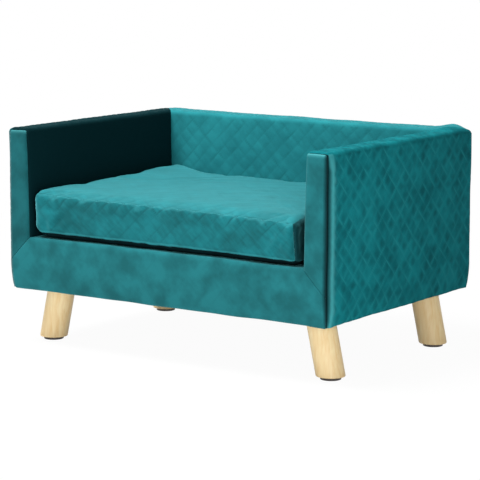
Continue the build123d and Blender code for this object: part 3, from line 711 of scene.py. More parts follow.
def swell_cushion():
    """How far the filling moves each point of each face's coarse grid.

    The faces are sewn into one closed shell, whose underside and rear are held. Blender's cloth
    then takes a little slack and the filling's pressure for some frames. The move is no longer
    than the cap, and inwards no more than the foam gives."""
    fields, quads, spans, count = [], [], {}, 0
    for face in CUSHION_FACES:
        block = cushion_block(face, *crossed(*trial_lines(face)))
        points, normal = cushion_surface(block)
        quads.append(grid_quads(points, normal) + count)
        fields.append([field.reshape(-1, 3) for field in (block, points, normal)])
        spans[face] = (count, block.shape)
        count += block[..., 0].size
    sharp, placed, normals = (np.concatenate(parts) for parts in zip(*fields))
    _, first, sewn = np.unique(
        np.round(sharp / TRIAL_SEWN), axis=0, return_index=True, return_inverse=True
    )
    sewn = sewn.ravel()
    sharp, placed, normals = sharp[first], placed[first], normals[first]
    start = TRIAL_START[0] * waves(placed, TRIAL_START[1], TRIAL_SEED)
    points = placed + normals * start[:, None]
    mesh = bpy.data.meshes.new("cushion trial")
    mesh.from_pydata(points.tolist(), [], sewn[np.concatenate(quads)].tolist())
    trial = add_object("cushion trial", mesh)
    low = sharp[:, 2] < CUSHION_TOP - CUSHION_SEAM + TINY
    rear = (sharp[:, 1] > CUSHION_HIGH.y - TINY) & (sharp[:, 2] < CUSHION_TOP - CUSHION_ROLL)
    held = trial.vertex_groups.new(name="held")
    held.add(np.flatnonzero(low | rear).tolist(), 1.0, "REPLACE")
    cover = trial.modifiers.new("cloth", "CLOTH")
    for key, value in TRIAL_CLOTH.items():
        setattr(cover.settings, key, value)
    cover.settings.vertex_group_mass = held.name
    cover.settings.effector_weights.gravity = 0
    for number in range(1, TRIAL_FRAMES + 1):
        bpy.context.scene.frame_set(number)
    swollen = trial.evaluated_get(bpy.context.evaluated_depsgraph_get()).data
    moved = np.zeros(len(points) * 3)
    swollen.vertices.foreach_get("co", moved)
    moves = moved.reshape(-1, 3) - placed
    bpy.data.objects.remove(trial)
    bpy.context.scene.frame_set(1)
    inward = np.minimum((moves * normals).sum(axis=1), 0)[:, None]
    moves -= normals * np.minimum(inward + TRIAL_GIVE, 0)
    length = np.linalg.norm(moves, axis=1, keepdims=True)
    moves = (moves * np.minimum(1, TRIAL_CAP / np.maximum(length, TINY)))[sewn]
    return {
        face: moves[place : place + math.prod(shape[:2])].reshape(shape)
        for face, (place, shape) in spans.items()
    }


def spread(coarse, fine):
    """Weights that carry values from evenly spaced places to others by a smooth cubic curve
    through each four neighbours, which goes straight on past the ends."""
    step = coarse[1] - coarse[0]
    place = np.clip((fine - coarse[0]) / step, 0, len(coarse) - 1)
    before = np.minimum(place.astype(int), len(coarse) - 2)
    t = place - before
    shares = (
        (-t + 2 * t**2 - t**3) / 2,
        (2 - 5 * t**2 + 3 * t**3) / 2,
        (t + 4 * t**2 - 3 * t**3) / 2,
        (t**3 - t**2) / 2,
    )
    weights = np.zeros((len(fine), len(coarse) + 2))
    for offset, share in enumerate(shares):
        weights[np.arange(len(fine)), before + offset] += share
    weights[:, 1] += 2 * weights[:, 0]
    weights[:, 2] -= weights[:, 0]
    weights[:, -2] += 2 * weights[:, -1]
    weights[:, -3] -= weights[:, -1]
    return weights[:, 1:-1]


def filled_cushion(face, lines_u, lines_v):
    """A face of the cushion as it lies filled, its normals, and its u and v."""
    u, v = crossed(lines_u, lines_v)
    placed, normal = cushion_surface(cushion_block(face, u, v))
    if CUSHION_SWELL:
        coarse_u, coarse_v = trial_lines(face)
        weights_u, weights_v = spread(coarse_u, lines_u), spread(coarse_v, lines_v)
        placed = placed + np.einsum("ij,jkc,lk->ilc", weights_u, CUSHION_SWELL[face], weights_v)
    return placed, normal, u, v


CUSHION_SWELL = swell_cushion()

# Soft hollows in the cushion's top, in mm: the two ends of each, its depth and half width
HOLLOWS = (
    (-225, -10, -120, 88, 2.2, 9),
    (-150, 20, -60, 70, 1.2, 8),
    (-20, 40, 70, -20, 1.1, 7),
    (60, 20, 150, -60, 1.2, 7),
    (120, -70, 205, -150, 1.3, 7),
    (30, -90, 110, -150, 0.9, 7),
)
HOLLOW_BOW = 0.08


def hollow_depth(x, y):
    """The deepest of the soft hollows at x, y: each a bell across the line between its ends,
    which is bowed a little to the side."""
    deepest = 0 * x
    for x0, y0, x1, y1, depth, width in np.array(HOLLOWS) * MM:
        run = math.hypot(x1 - x0, y1 - y0)
        along = ((x - x0) * (x1 - x0) + (y - y0) * (y1 - y0)) / run
        across = ((x - x0) * (y1 - y0) - (y - y0) * (x1 - x0)) / run
        bow = across - HOLLOW_BOW * run * np.sin(math.pi * np.clip(along / run, 0, 1))
        past = np.maximum(np.maximum(-along, along - run), 0)
        deepest = np.maximum(deepest, depth * bell(bow, width) * bell(past, 3 * width))
    return deepest


def cushion_cloth(face, lines_u, lines_v, sink=0.0, quilt=1.0, painted_highlight=0.0, turned=0.0):
    """One side of the cushion: its filled surface with soft unevenness, quilting and seams. The
    top is painted pale as a highlight, down to the first diamonds over its edges."""
    placed, normal, u, v = filled_cushion(face, lines_u, lines_v)
    block = cushion_block(face, u, v)
    sink = sink + 0 * u
    outwards = v if face in ("rear", "right") else -v
    a, b = u, v
    if face in ("front", "rear"):
        b = block[..., 1] + outwards
    elif face != "top":
        a, b = block[..., 0] + outwards, u
    height, line, _ = quilting(a, b, block)
    from_edge = np.hypot(block[..., 1] - CUSHION_LOW.y, block[..., 2] - CUSHION_TOP)
    puffed = 1 + EDGE_QUILT[0] * bell(from_edge, EDGE_QUILT[1])
    worn = CUSHION_WEAR[1] * waves(block, CUSHION_WEAR[2], CUSHION_WEAR_SEED)
    worn = (CUSHION_WEAR[0] + worn) * puffed
    slow = sum(size * waves(block, length, seed) for size, length, seed in CUSHION_WAVES)
    slow = slow - (hollow_depth(u, v) if face == "top" else 0)
    relief = slow * (face != "rear") + quilt * worn * height - sink
    along = b if face in ("left", "right") else a
    # Painted highlight: the top is pale down to a zigzag, ragged line over its edges
    zigzag = np.abs(2 * np.mod(along / (math.sqrt(2) * QUILT), 1) - 1)
    depth = CUSHION_TOP - block[..., 2]
    ragged = TOP_RAGGED[0] * smooth(depth / TOP_HIGHLIGHT[1]) * waves(block, TOP_RAGGED[1], HIGHLIGHT_SEED)
    below = TOP_HIGHLIGHT[1] * (1 + zigzag + ragged) - depth
    paler = np.maximum(painted_highlight, TOP_HIGHLIGHT[0] * smooth(below / TOP_HIGHLIGHT[2]))
    # Painted shade down in seams, in the slit and on the sides
    shade = np.maximum(ramp(sink, *SEAM_SHADE), turned)
    # Painted shade: near the front top edge the quilting lines are drawn up to fully dark
    marks = [np.minimum(quilt * line * puffed, 1), paler, shade]
    return cloth_grid(placed + normal * relief[..., None], normal, a, b, marks)


def seam_hem(rise):
    """How far the cover is rolled in by its height above the lower seam."""
    return CUSHION_SEAM_ROLL * dip(np.clip(1 - rise / CUSHION_SEAM_ROLL, 0, 1))


def make_cushion_cover(name):
    """The top and, unrolled from its four edges, the sides down to the lower seam, with a slit
    for the zip in the rear."""
    lines_x, lines_y = (spaced(*ends)[0] for ends in cushion_ends("top"))
    lines_d, _ = spaced(0, CUSHION_SEAM, (0, CUSHION_SEAM_ROLL))
    grids = [cushion_cloth("top", lines_x, lines_y, quilt=TOP_QUILT)]
    stitch = CUSHION_SEAM - lines_d - TOP_STITCH
    hem = seam_hem(CUSHION_SEAM - lines_d) + STITCH_RIDGE * bell(stitch, TOP_STITCH_WIDTH)
    hem[-1] += SEAM_TUCK
    lower = smooth(lines_d / CUSHION_ROLL - CORNER_FROM)
    for face in ("front", "left", "right"):
        lines = lines_x if face == "front" else lines_y
        end = np.minimum(lines - lines[0], lines[-1] - lines)[:, None]
        sink = hem + CORNER_SEAM * bell(end, CORNER_SEAM_WIDTH) * lower
        ridge = bell(end - CORNER_RIDGE, CORNER_SEAM) * lower
        # Painted highlight along the lower seam's stitching and on the ridge beside each corner
        # seam
        painted_highlight = STITCH_HIGHLIGHT * bell(stitch, STITCH_HIGHLIGHT_WIDTH) + RIDGE_HIGHLIGHT * ridge
        # Painted shade: the left and right faces are darker than the front
        turned = 0 if face == "front" else SIDE_PAINTED_SHADE
        grids.append(cushion_cloth(face, lines, lines_d, sink, SIDE_QUILT, painted_highlight, turned))
    grids.append(rear_with_slit(lines_x))
    return mesh_object(name, grids, CLOTH, merge=True)


def rear_with_slit(lines_x):
    """The rear face: cells inside the slit are left out, and its edge is rolled in a quarter
    circle by how near it is."""
    middle = CUSHION_TOP - ZIP_CENTRE
    turns = ZIP_ROLL * (1 - np.cos(np.radians([0, 45, 90])))
    ends_x = np.concatenate([side * (ZIP_HALF + turns) for side in (-1, 1)])
    ends_x = np.append(ends_x, [-ZIP_HALF + ZIP_ROLL, ZIP_HALF - ZIP_ROLL])
    ends_d = np.concatenate([middle + side * (ZIP_SLIT + turns) for side in (-1, 1)])
    ends_d = np.append(ends_d, [middle - ZIP_SLIT + ZIP_ROLL, middle + ZIP_SLIT - ZIP_ROLL])
    lines_x = lines_x[np.abs(np.abs(lines_x) - ZIP_HALF) > ZIP_CLEAR]
    lines_x = np.sort(np.append(lines_x, ends_x))
    lines_d, _ = spaced(0, CUSHION_SEAM, (0, CUSHION_SEAM_ROLL))
    lines_d = lines_d[np.abs(np.abs(lines_d - middle) - ZIP_SLIT) > ZIP_CLEAR]
    lines_d = np.sort(np.append(lines_d, ends_d))
    x, d = crossed(lines_x, lines_d)
    out_x = np.abs(x) - ZIP_HALF
    out_d = np.abs(d - middle) - ZIP_SLIT
    outside = np.hypot(np.maximum(out_x, 0), np.maximum(out_d, 0))
    roll = np.clip(1 - outside / ZIP_ROLL, 0, 1)
    sink = ZIP_ROLL * dip(roll)
    inside = (out_x < -TINY) & (out_d < -TINY)
    sink[inside] += 2 * ZIP_ROLL
    hem = seam_hem(CUSHION_SEAM - lines_d)
    hem[-1] += SEAM_TUCK
    quilt = SIDE_QUILT * smooth(outside / QUILT_FADE)
    grid = cushion_cloth("rear", lines_x, lines_d, sink + hem, quilt)
    middle_x = np.abs(lines_x[1:] + lines_x[:-1]) / 2 < ZIP_HALF - ZIP_ROLL
    middle_d = np.abs((lines_d[1:] + lines_d[:-1]) / 2 - middle) < ZIP_SLIT - ZIP_ROLL
    grid["keep"] = ~(middle_x[:, None] & middle_d[None, :])
    # The inner ring goes straight in behind the slit's edge
    pull_x = np.sign(x) * np.minimum(-out_x, ZIP_ROLL)
    pull_d = np.sign(d - middle) * np.minimum(-out_d, ZIP_ROLL)
    grid["points"][..., 0] += np.where(inside, pull_x, 0)
    grid["points"][..., 2] -= np.where(inside, pull_d, 0)
    return grid


def make_cushion_base(name):
    """The cloth under the cushion and up its sides to the lower seam."""
    grids = []
    for face in CUSHION_FACES[1:]:
        lines_u, lines_v = (spaced(*ends, step=2 * STEP)[0] for ends in cushion_ends(face))
        if face != "bottom":
            lines_v = np.linspace(CUSHION_SEAM, CUSHION_EDGE, BASE_LINES)
        grids.append(cloth_grid(*filled_cushion(face, lines_u, lines_v)))
    return mesh_object(name, grids, CLOTH, merge=True)


def make_cushion_filling(name, inset, wall=0.0):
    """A closed filling: the filled cushion's six faces drawn in by the inset."""
    grids = []
    for face in CUSHION_FACES:
        lines_u, lines_v = trial_lines(face)
        if face not in ("top", "bottom"):
            lines_v = np.linspace(0, CUSHION_EDGE, FILLING_LINES)
        placed, normal, u, v = filled_cushion(face, lines_u, lines_v)
        grids.append(cloth_grid(placed - inset * normal, normal, u, v))
    return mesh_object(name, grids, wall, merge=True)


# Flat cloths of the frame and the parts of the zip
LEG_SPLAY = math.radians(12.5)
LEG_HOLE_EASE = 2 * MM
DUST_STEP = 4 * MM
DUST_SAG = 2.2 * MM
DUST_CLOTH = 0.6 * MM
STAPLE_PITCH = 62 * MM
DUST_SCALLOP = 0.9 * MM
DUST_EDGE = 40
DUST_WAVE = (0.35 * MM, 60 * MM)
LINING_STEP = 5 * MM
LINING_CLOTH = 1.0 * MM
LINING_FOLD = (0.25 * MM, 23 * MM, 90 * MM)
LINING_WAVE = (0.2 * MM, 120 * MM)
TAPE_GAP = 0.1 * MM
TAPE_WAVE = (0.15 * MM, 40 * MM)
TAPE_THICKNESS = 0.7
TAPE_LINES = (150, 9)


def flat_grid(low, high, step):
    """An even grid of x and y over a box."""
    x = np.linspace(low.x, high.x, 1 + round((high.x - low.x) / step))
    y = np.linspace(low.y, high.y, 1 + round((high.y - low.y) / step))
    return crossed(x, y)


def make_dust_cover(name):
    """Black cloth stapled under the base, with a round hole for each leg. It sags as
    (1 - x^2)(1 - y^2) of its half sizes, its edge draws in between the staples, and the grid
    points nearest to a hole lie on its edge."""
    low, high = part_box("dust_cover")
    x, y = flat_grid(low, high, DUST_STEP)
    share_x, share_y = x / high.x, y / high.y
    pull = DUST_SCALLOP * (1 + np.cos(2 * math.pi * (x + y) / STAPLE_PITCH)) / 2
    moved_x = x - pull * np.sign(x) * np.abs(share_x) ** DUST_EDGE
    moved_y = y - pull * np.sign(y) * np.abs(share_y) ** DUST_EDGE
    middle = (1 - share_x**2) * (1 - share_y**2)
    points = np.stack([moved_x, moved_y, low.z - DUST_SAG * middle], axis=-1)
    points[..., 2] += DUST_WAVE[0] * waves(points, DUST_WAVE[1], DUST_SEED) * middle
    keep = np.ones((x.shape[0] - 1, x.shape[1] - 1), bool)
    for name_of_leg in LEGS:
        leg_low, leg_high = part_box(name_of_leg)
        radius = (leg_high.y - leg_low.y) / 2 / math.cos(LEG_SPLAY) + LEG_HOLE_EASE
        inner = min(abs(leg_low.x), abs(leg_high.x)) + radius - LEG_HOLE_EASE
        centre = np.array([math.copysign(inner, leg_low.x), (leg_low.y + leg_high.y) / 2])
        away = points[..., :2] - centre
        distance = np.linalg.norm(away, axis=-1, keepdims=True)
        near = distance[..., 0] < radius + DUST_STEP / 2
        on_edge = centre + away * radius / np.maximum(distance, TINY)
        points[..., :2] = np.where(near[..., None], on_edge, points[..., :2])
        keep &= ~(near[:-1, :-1] & near[1:, :-1] & near[1:, 1:] & near[:-1, 1:])
    down = np.broadcast_to([0.0, 0.0, -1.0], points.shape)
    return mesh_object(name, [cloth_grid(points, down, x, y, keep=keep)], DUST_CLOTH)


def make_deck_lining(name):
    """Lining laid over the seat deck and tucked under the covers round it, pulled tight, so that
    faint folds run in from its ends."""
    low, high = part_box("seat_deck_cloth")
    x, y = flat_grid(low, high, LINING_STEP)
    points = np.stack([x, y, 0 * x], axis=-1)
    run = 2 * math.pi * y / LINING_FOLD[1] + 2 * waves(points, LINING_FOLD[2], FOLD_SEED)
    fold = LINING_FOLD[0] * np.abs(x / high.x) ** 3 * (1 + np.sin(run))
    slow = LINING_WAVE[0] * (1 + waves(points, LINING_WAVE[1], LINING_SEED))
    points[..., 2] = high.z - fold - slow
    up = np.broadcast_to([0.0, 0.0, 1.0], points.shape)
    return mesh_object(name, [cloth_grid(points, up, x, y)], LINING_CLOTH)


def make_zip_tapes(name):
    """Two woven tapes, edge to edge behind the slit, their faces faintly wavy away from the coil.
    The zip is closed, so only a hair's breadth is left between them."""
    low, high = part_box("zip_tapes")
    grids = []
    for side in (-1, 1):
        lines_x = np.linspace(low.x, high.x, TAPE_LINES[0])
        across = np.linspace(TAPE_GAP, (high.z - low.z) / 2, TAPE_LINES[1])
        lines_z = ZIP_CENTRE + side * across
        x, z = crossed(lines_x, lines_z)
        points = np.stack([x, high.y + 0 * x, z], axis=-1)
        far = np.abs(z - ZIP_CENTRE) / (high.z - ZIP_CENTRE)
        wave = 1 + waves(points, TAPE_WAVE[1], TAPE_SEED)
        points[..., 1] -= TAPE_WAVE[0] * far**2 * wave
        normal = np.broadcast_to([0.0, 1.0, 0.0], points.shape)
        grids.append(cloth_grid(points, normal, x, z))
    return mesh_object(name, grids, (high.y - low.y) * TAPE_THICKNESS)


COIL_PITCH = 1.6 * MM
COIL_WIRE = 0.3 * MM
COIL_TURN_POINTS = 8
COIL_WIRE_SIDES = 5


def make_zip_coils(name):
    """Two nylon spirals sewn along the tapes. A spiral is an oval turned as it advances, with the
    wire's round section standing in the plane of the oval's radius and the zip's length."""
    low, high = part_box("zip_coils")
    depth = (high.y - low.y) / 2
    height = (high.z - low.z) / 5
    count = round((high.x - low.x - 2 * COIL_WIRE) / COIL_PITCH)
    turn = np.linspace(0, 2 * math.pi * count, count * COIL_TURN_POINTS + 1)
    round_wire = np.linspace(0, 2 * math.pi, COIL_WIRE_SIDES + 1)
    ahead = np.array([1, 0, 0])
    grids = []
    for side in (-1, 1):
        level = ZIP_CENTRE + side * ((high.z - low.z) / 2 - height)
        middle = np.array([0, (low.y + high.y) / 2, level])
        outward = np.stack([0 * turn, np.cos(turn), side * np.sin(turn)], -1)
        oval = outward * np.array([0, depth - COIL_WIRE, height - COIL_WIRE])
        along = (turn / turn[-1] - 0.5) * (high.x - low.x - 2 * COIL_WIRE)
        centre = middle + oval + along[:, None] * ahead
        a, b = crossed(turn, round_wire)
        normal = outward[:, None] * np.cos(b)[..., None] + ahead * np.sin(b)[..., None]
        grids.append(cloth_grid(centre[:, None] + COIL_WIRE * normal, normal, a, b))
    return mesh_object(name, grids, merge=True)


# Materials
def linear(code):
    """An sRGB hex colour as linear RGBA."""
    parts = [int(code[i : i + 2], 16) / 255 for i in (1, 3, 5)]
    return [p / 12.92 if p < 0.04045 else ((p + 0.055) / 1.055) ** 2.4 for p in parts] + [1.0]


def feed(tree, target, inputs):
    """Gives a node's sockets, by name or number, a value, a hex colour, another node's output,
    or the first output of a node."""
    for key, value in dict(inputs).items():
        socket = target.inputs[key]
        if isinstance(value, bpy.types.Node):
            value = value.outputs[0]
        if isinstance(value, bpy.types.NodeSocket):
            tree.links.new(value, socket)
        else:
            socket.default_value = linear(value) if isinstance(value, str) else value


def node(tree, kind, inputs=(), **settings):
    """Adds a node: settings are its own properties, and its inputs are fed."""
    made = tree.nodes.new("ShaderNode" + kind)
    for key, value in settings.items():
        setattr(made, key, value)
    feed(tree, made, inputs)
    return made


def new_material(name):
    """A new material, its tree, its shader and the place on the object."""
    made = bpy.data.materials.new(name)
    made.use_nodes = True
    tree = made.node_tree
    shader = next(n for n in tree.nodes if n.type == "BSDF_PRINCIPLED")
    return made, tree, shader, node(tree, "TexCoord").outputs["Object"]


def finished(material, share, dark, light, sockets):
    """A material with its colour, two mixed by a share, and its shader's other sockets."""
    made, tree, shader, _ = material
    colour = node(tree, "Mix", {0: share, 6: dark, 7: light}, data_type="RGBA").outputs[2]
    feed(tree, shader, {"Base Color": colour, **sockets})
    return made


# The colour of painted shade, also where the pile is turned away
PAINTED_SHADE_COLOUR = "#042428"
CLOUD = 34 * MM
STROKE = (6 * MM, 4.5)
PILE = 1.4 * MM
PILE_SHARE = {1: 0.38, 2: 0.62}
CLOTH_GLOSS = 0.2


def velvet(name, light, dark, line, paler, stroke, lean, sheen, sheen_tint, gloss=0.1):
    """Polyester velvet, woven and heat-quilted: a matt cut pile, pale where it is seen along the
    surface, with cloudy marks and strokes where the pile lies differently, pressed in lines, a
    painted highlight on edges and painted shade where it leans away, in cell middles and down in
    seams."""
    made, tree, shader, place = new_material(name)
    clouds = node(tree, "TexNoise", {"Vector": place, "Scale": 1 / CLOUD, "Detail": 5.0})
    # Strokes: the pile brushed in streaks some 6 mm wide and 27 mm long, at an angle to the cut
    laid = node(tree, "UVMap", uv_map="cloth")
    turn = {"Rotation": (0.0, 0.0, math.radians(lean)), "Scale": (STROKE[1], 1.0, 1.0)}
    brushed = node(tree, "Mapping", {"Vector": laid, **turn}, vector_type="TEXTURE")
    streaks = {"Vector": brushed, "Scale": 1 / STROKE[0], "Detail": 2.0}
    strokes = node(tree, "TexNoise", streaks)
    both = node(tree, "Mix", {0: stroke, 2: clouds, 3: strokes}, data_type="FLOAT")
    share = node(tree, "MapRange", {0: both, **PILE_SHARE})
    marks = node(tree, "Attribute", attribute_name="marks").outputs["Vector"]
    # The marks: quilting lines, negative for painted shade in cell middles; painted highlight;
    # painted shade
    press, painted_highlight, away = node(tree, "SeparateXYZ", {0: marks}).outputs
    hollow = node(tree, "Math", {0: press, 1: -1.0}, operation="MULTIPLY", use_clamp=True)
    edge = node(tree, "Math", {0: painted_highlight, 1: 1.0}, operation="MINIMUM", use_clamp=True)
    # Over the cloth's own colours: pressed lines, painted shade in cell middles, painted highlight
    # and painted shade
    colour = dark
    layers = ((share, light), (press, line), (hollow, PAINTED_SHADE_COLOUR), (edge, paler), (away, PAINTED_SHADE_COLOUR))
    for part, over in layers:
        colour = node(tree, "Mix", {0: part, 6: colour, 7: over}, data_type="RGBA").outputs[2]
    # The pile is 0.3 mm wide tufts, drawn at 1.4 mm so that it shows
    pile = node(tree, "TexNoise", {"Vector": place, "Scale": 1 / PILE, "Detail": 2.0})
    bump = node(tree, "Bump", {"Strength": 0.2, "Distance": 0.3 * MM, "Height": pile})
    feed(tree, shader, {
        "Base Color": colour,
        "Normal": bump,
        "Roughness": 0.85,
        "Specular IOR Level": gloss,
        "Sheen Weight": sheen,
        "Sheen Roughness": 0.4,
        "Sheen Tint": sheen_tint,
    })
    return made


def plain_cloth(name, light, dark, grain, roughness):
    """A thin backing cloth: fine uneven colour and a slight fibre relief."""
    material = new_material(name)
    _, tree, _, place = material
    fibres = node(tree, "TexNoise", {"Vector": place, "Scale": 1 / grain, "Detail": 4.0})
    bump = node(tree, "Bump", {"Strength": 0.4, "Distance": 0.2 * MM, "Height": fibres})
    sockets = {"Normal": bump, "Roughness": roughness, "Specular IOR Level": CLOTH_GLOSS}
    return finished(material, fibres, dark, light, sockets)


def woven(name, light, dark, thread, roughness):
    """A plain weave: warp and weft as two crossed bands of the given thread spacing, each thread
    over where the other is under, and a little uneven colour with slubs 12 mm apart."""
    material = new_material(name)
    _, tree, _, place = material
    wave = {"Vector": place, "Scale": math.pi / (20 * thread), "Distortion": 0.6}
    warp, weft = (node(tree, "TexWave", wave, bands_direction=way) for way in ("X", "Y"))
    crossing = {0: warp.outputs["Fac"], 1: weft.outputs["Fac"]}
    weave = node(tree, "Math", crossing, operation="MULTIPLY")
    slubs = node(tree, "TexNoise", {"Vector": place, "Scale": 1 / (12 * MM), "Detail": 3.0})
    share = node(tree, "Mix", {0: 0.5, 2: weave, 3: slubs}, data_type="FLOAT")
    bump = node(tree, "Bump", {"Strength": 0.5, "Distance": 0.2 * MM, "Height": weave})
    sockets = {"Normal": bump, "Roughness": roughness, "Specular IOR Level": CLOTH_GLOSS}
    return finished(material, share, dark, light, sockets)


def wood(name, light, dark, ring, stretch, roughness):
    """Sanded wood: long pale and darker grain along the piece, with fine pores."""
    material = new_material(name)
    _, tree, _, place = material
    along = node(tree, "Mapping", {"Vector": place, "Scale": stretch})
    bands = {"Vector": along, "Scale": 1 / ring, "Detail": 5.0, "Distortion": 0.6}
    grain = node(tree, "TexNoise", bands)
    share = node(tree, "MapRange", {0: grain, 1: 0.3, 2: 0.7})
    pores = node(tree, "TexNoise", {"Vector": along, "Scale": 6 / ring, "Detail": 2.0})
    bump = node(tree, "Bump", {"Strength": 0.15, "Distance": 0.1 * MM, "Height": pores})
    return finished(material, share, dark, light, {"Normal": bump, "Roughness": roughness})


def hard(name, colour, worn, roughness, metallic=0.0):
    """Plastic or metal: one colour, faintly uneven in marks 4 mm wide, with its finish in the
    roughness."""
    material = new_material(name)
    _, tree, _, place = material
    marks = node(tree, "TexNoise", {"Vector": place, "Scale": 1 / (4 * MM), "Detail": 3.0})
    sockets = {"Roughness": roughness, "Metallic": metallic}
    return finished(material, marks, colour, worn, sockets)


# Each: its name; light, dark, line and painted highlight colour; share and lean of the strokes;
# sheen, the sheen's tint and, where it differs, the gloss. The five are copies of one teal velvet,
# each set to how its panels are lit: painted light and shade. The back's copy is painted lighter
# against the shade in its well, the cushion's is darker under its painted pale top, and the last
# is painted shade.
outer_velvet, inner_velvet, back_velvet, seat_velvet, painted_shade_velvet = (
    velvet("teal " + name, *colours.split(), *values)
    for name, colours, *values in (
        ("velvet, lines rubbed", "#117A81 #086067 #1D8187 #4CABB0", 0.2, 45, 0.1, "#2E9AA0", 0.04),
        ("velvet", "#1F7278 #165C61 #165A5F #55B0B5", 0.1, -45, 0.2, "#9ADDE0"),
        ("velvet, pile up", "#268C93 #207E85 #1C7379 #55B0B5", 0.2, -45, 0.25, "#9ADDE0"),
        ("velvet of the cushion", "#147077 #0B565B #094E53 #48B2BA", 0.33, -40, 0.9, "#7BDAE1"),
        ("velvet against the pile", "#021F23 #011417 #022327 #0A3A3F", 0.2, 45, 0.01, "#2A7A7E"),
    )
)
lining = woven("grey polyester lining", "#5A5E60", "#3C4042", 1.2 * MM, 0.9)
nonwoven = plain_cloth("black spunbond nonwoven", "#1E1E20", "#0E0E10", 1.6 * MM, 0.8)
foam = plain_cloth("cut polyurethane foam", "#E9DFB4", "#D8CB98", 1.5 * MM, 0.95)
wadding = plain_cloth("polyester wadding", "#F2F2EE", "#DADAD4", 3 * MM, 1.0)
beech = wood("sanded beech", "#FCE4B2", "#F2CF93", 5 * MM, (1.0, 1.0, 0.12), 0.5)
plywood = wood("birch plywood", "#DCC39A", "#C4A777", 8 * MM, (0.3, 0.3, 1.0), 0.6)
pine = wood("planed pine", "#E8CF9A", "#D3AE6E", 6 * MM, (0.2, 0.2, 1.0), 0.6)
glide_plastic = hard("moulded dark polyethylene", "#3A2E26", "#2A211B", 0.45)
zinc = hard("zinc-plated steel", "#B9BCC0", "#9FA3A8", 0.35, 1.0)
tape_cloth = woven("woven zip tape", "#1D5F64", "#154B50", 0.9 * MM, 0.85)
coil_nylon = hard("nylon coil", "#1C5A5F", "#164A4E", 0.4)
slider_metal = hard("painted zinc zip slider", "#1A4A4E", "#2A5C60", 0.35, 0.6)


def dress(piece, *materials):
    """Gives a piece its materials; a grid's faces wholly in painted shade take the second."""
    piece.data.materials.clear()
    for material in materials:
        piece.data.materials.append(material)


CORNERS = ("front_left", "front_right", "rear_left", "rear_right")
LEGS = ["leg_" + corner for corner in CORNERS]
CAD_FINISHES = (
    (beech, LEGS),
    (glide_plastic, ["glide_" + corner for corner in CORNERS]),
    (plywood, ("arm_board_left", "arm_board_right", "back_board", "base_board", "seat_deck")),
    (pine, ("front_rail_board", "seat_cleats", "corner_posts")),
    (zinc, ("frame_screws", "glide_screws", "hanger_bolts", "tee_nuts", "staples")),
    (slider_metal, ("zip_stops", "zip_slider")),
)
for material, names in CAD_FINISHES:
    for name in names:
        dress(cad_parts[name], material)


# Pieces
def place_piece(piece, materials, body, slot, *replaced):
    """A piece has its materials, rides on its body and stands for CAD nodes. The slot is not used."""
    dress(piece, *materials)
    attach(piece, body)
    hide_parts(*replaced)
    return piece


def place_padding(piece, replaced):
    """A padding of the sofa's body."""
    place_piece(piece, [foam], "sofa", "foam", replaced)
    return piece


def place_cover(piece, materials, replaced, cut, rests_on, **area):
    """A velvet cover of the sofa's body."""
    place_piece(piece, materials, "sofa", "sofa_velvet", replaced)


# Cut sizes of the cloths. Only the narrow strips count what goes down into their seams
ARM_CUT = (UNDER_TURN + OVER_ARM, 2 * HALF_DEPTH)
ARM_AREA = ARM_CUT[0] * ARM_CUT[1] - BACK_DEPTH * (ARM / 2 + RISE)
STRIP_CUT = (ARM + FRONT_ROLL + 2 * SEAM_TUCK, RISE + ARM + 2 * SEAM_TUCK)
STRIP_AREA = STRIP_CUT[0] * (STRIP_CUT[1] - ARM / 2)
RAIL_CUT = (2 * HALF_WIDTH, UNDER_TURN + RAIL_HEIGHT + RAIL_TURN)
RAIL_AREA = 2 * HALF_WIDTH * UNDER_TURN + 2 * WELL_HALF * RAIL_TURN
RAIL_AREA += (HALF_WIDTH + WELL_HALF) * RAIL_HEIGHT
BACK_CUT = (2 * HALF_WIDTH, OVER_BACK)
BACK_AREA = 2 * WELL_HALF * RISE + (HALF_WIDTH + WELL_HALF) * BACK_DEPTH
OUTER_CUT = (2 * HALF_WIDTH, UNDER_TURN + SIDE_HEIGHT)
PAD_ENDS = (FRONT_ROLL + PAD_DEPTH - HALF_DEPTH, HALF_DEPTH - PAD_DEPTH)
CORE_INSET, WRAP_INSET, WRAP_WALL = 9 * MM, 2.5 * MM, 5 * MM

# The left arm is painted dark from its top on and the right from its inside on: pile turned away
# and painted shade
for side, tail, painted_dark_from in ((-1, "left", SIDE_HEIGHT), (1, "right", SIDE_HEIGHT + ARM)):
    cover = make_arm_cover(side, "arm_upholstery_" + tail, painted_dark_from)
    surface = partial(arm_surface, side, inset=PAD_DEPTH)
    padding = make_padding("arm_padding_" + tail, surface, (0, OVER_ARM), PAD_ENDS)
    under = [place_padding(padding, "arm_pad_" + tail), "arm_board_" + tail]
    both = [outer_velvet, painted_shade_velvet]
    place_cover(cover, both, "arm_cover_" + tail, ARM_CUT, under, area=ARM_AREA)
    strip = make_arm_front(side, "arm_front_strip_" + tail)
    place_cover(strip, [inner_velvet], "arm_front_" + tail, STRIP_CUT, under, area=STRIP_AREA)

rail_ends = (-WELL_HALF, WELL_HALF), (HEM_ROUND, RAIL_HEIGHT - PAD_DEPTH)
rail_padding = make_padding("front_rail_padding", rail_padding_surface, *rail_ends)
under = [place_padding(rail_padding, "front_rail_pad"), "front_rail_board"]
rail = make_front_rail("front_rail_upholstery")
place_cover(rail, [inner_velvet], "front_rail_cover", RAIL_CUT, under, area=RAIL_AREA)

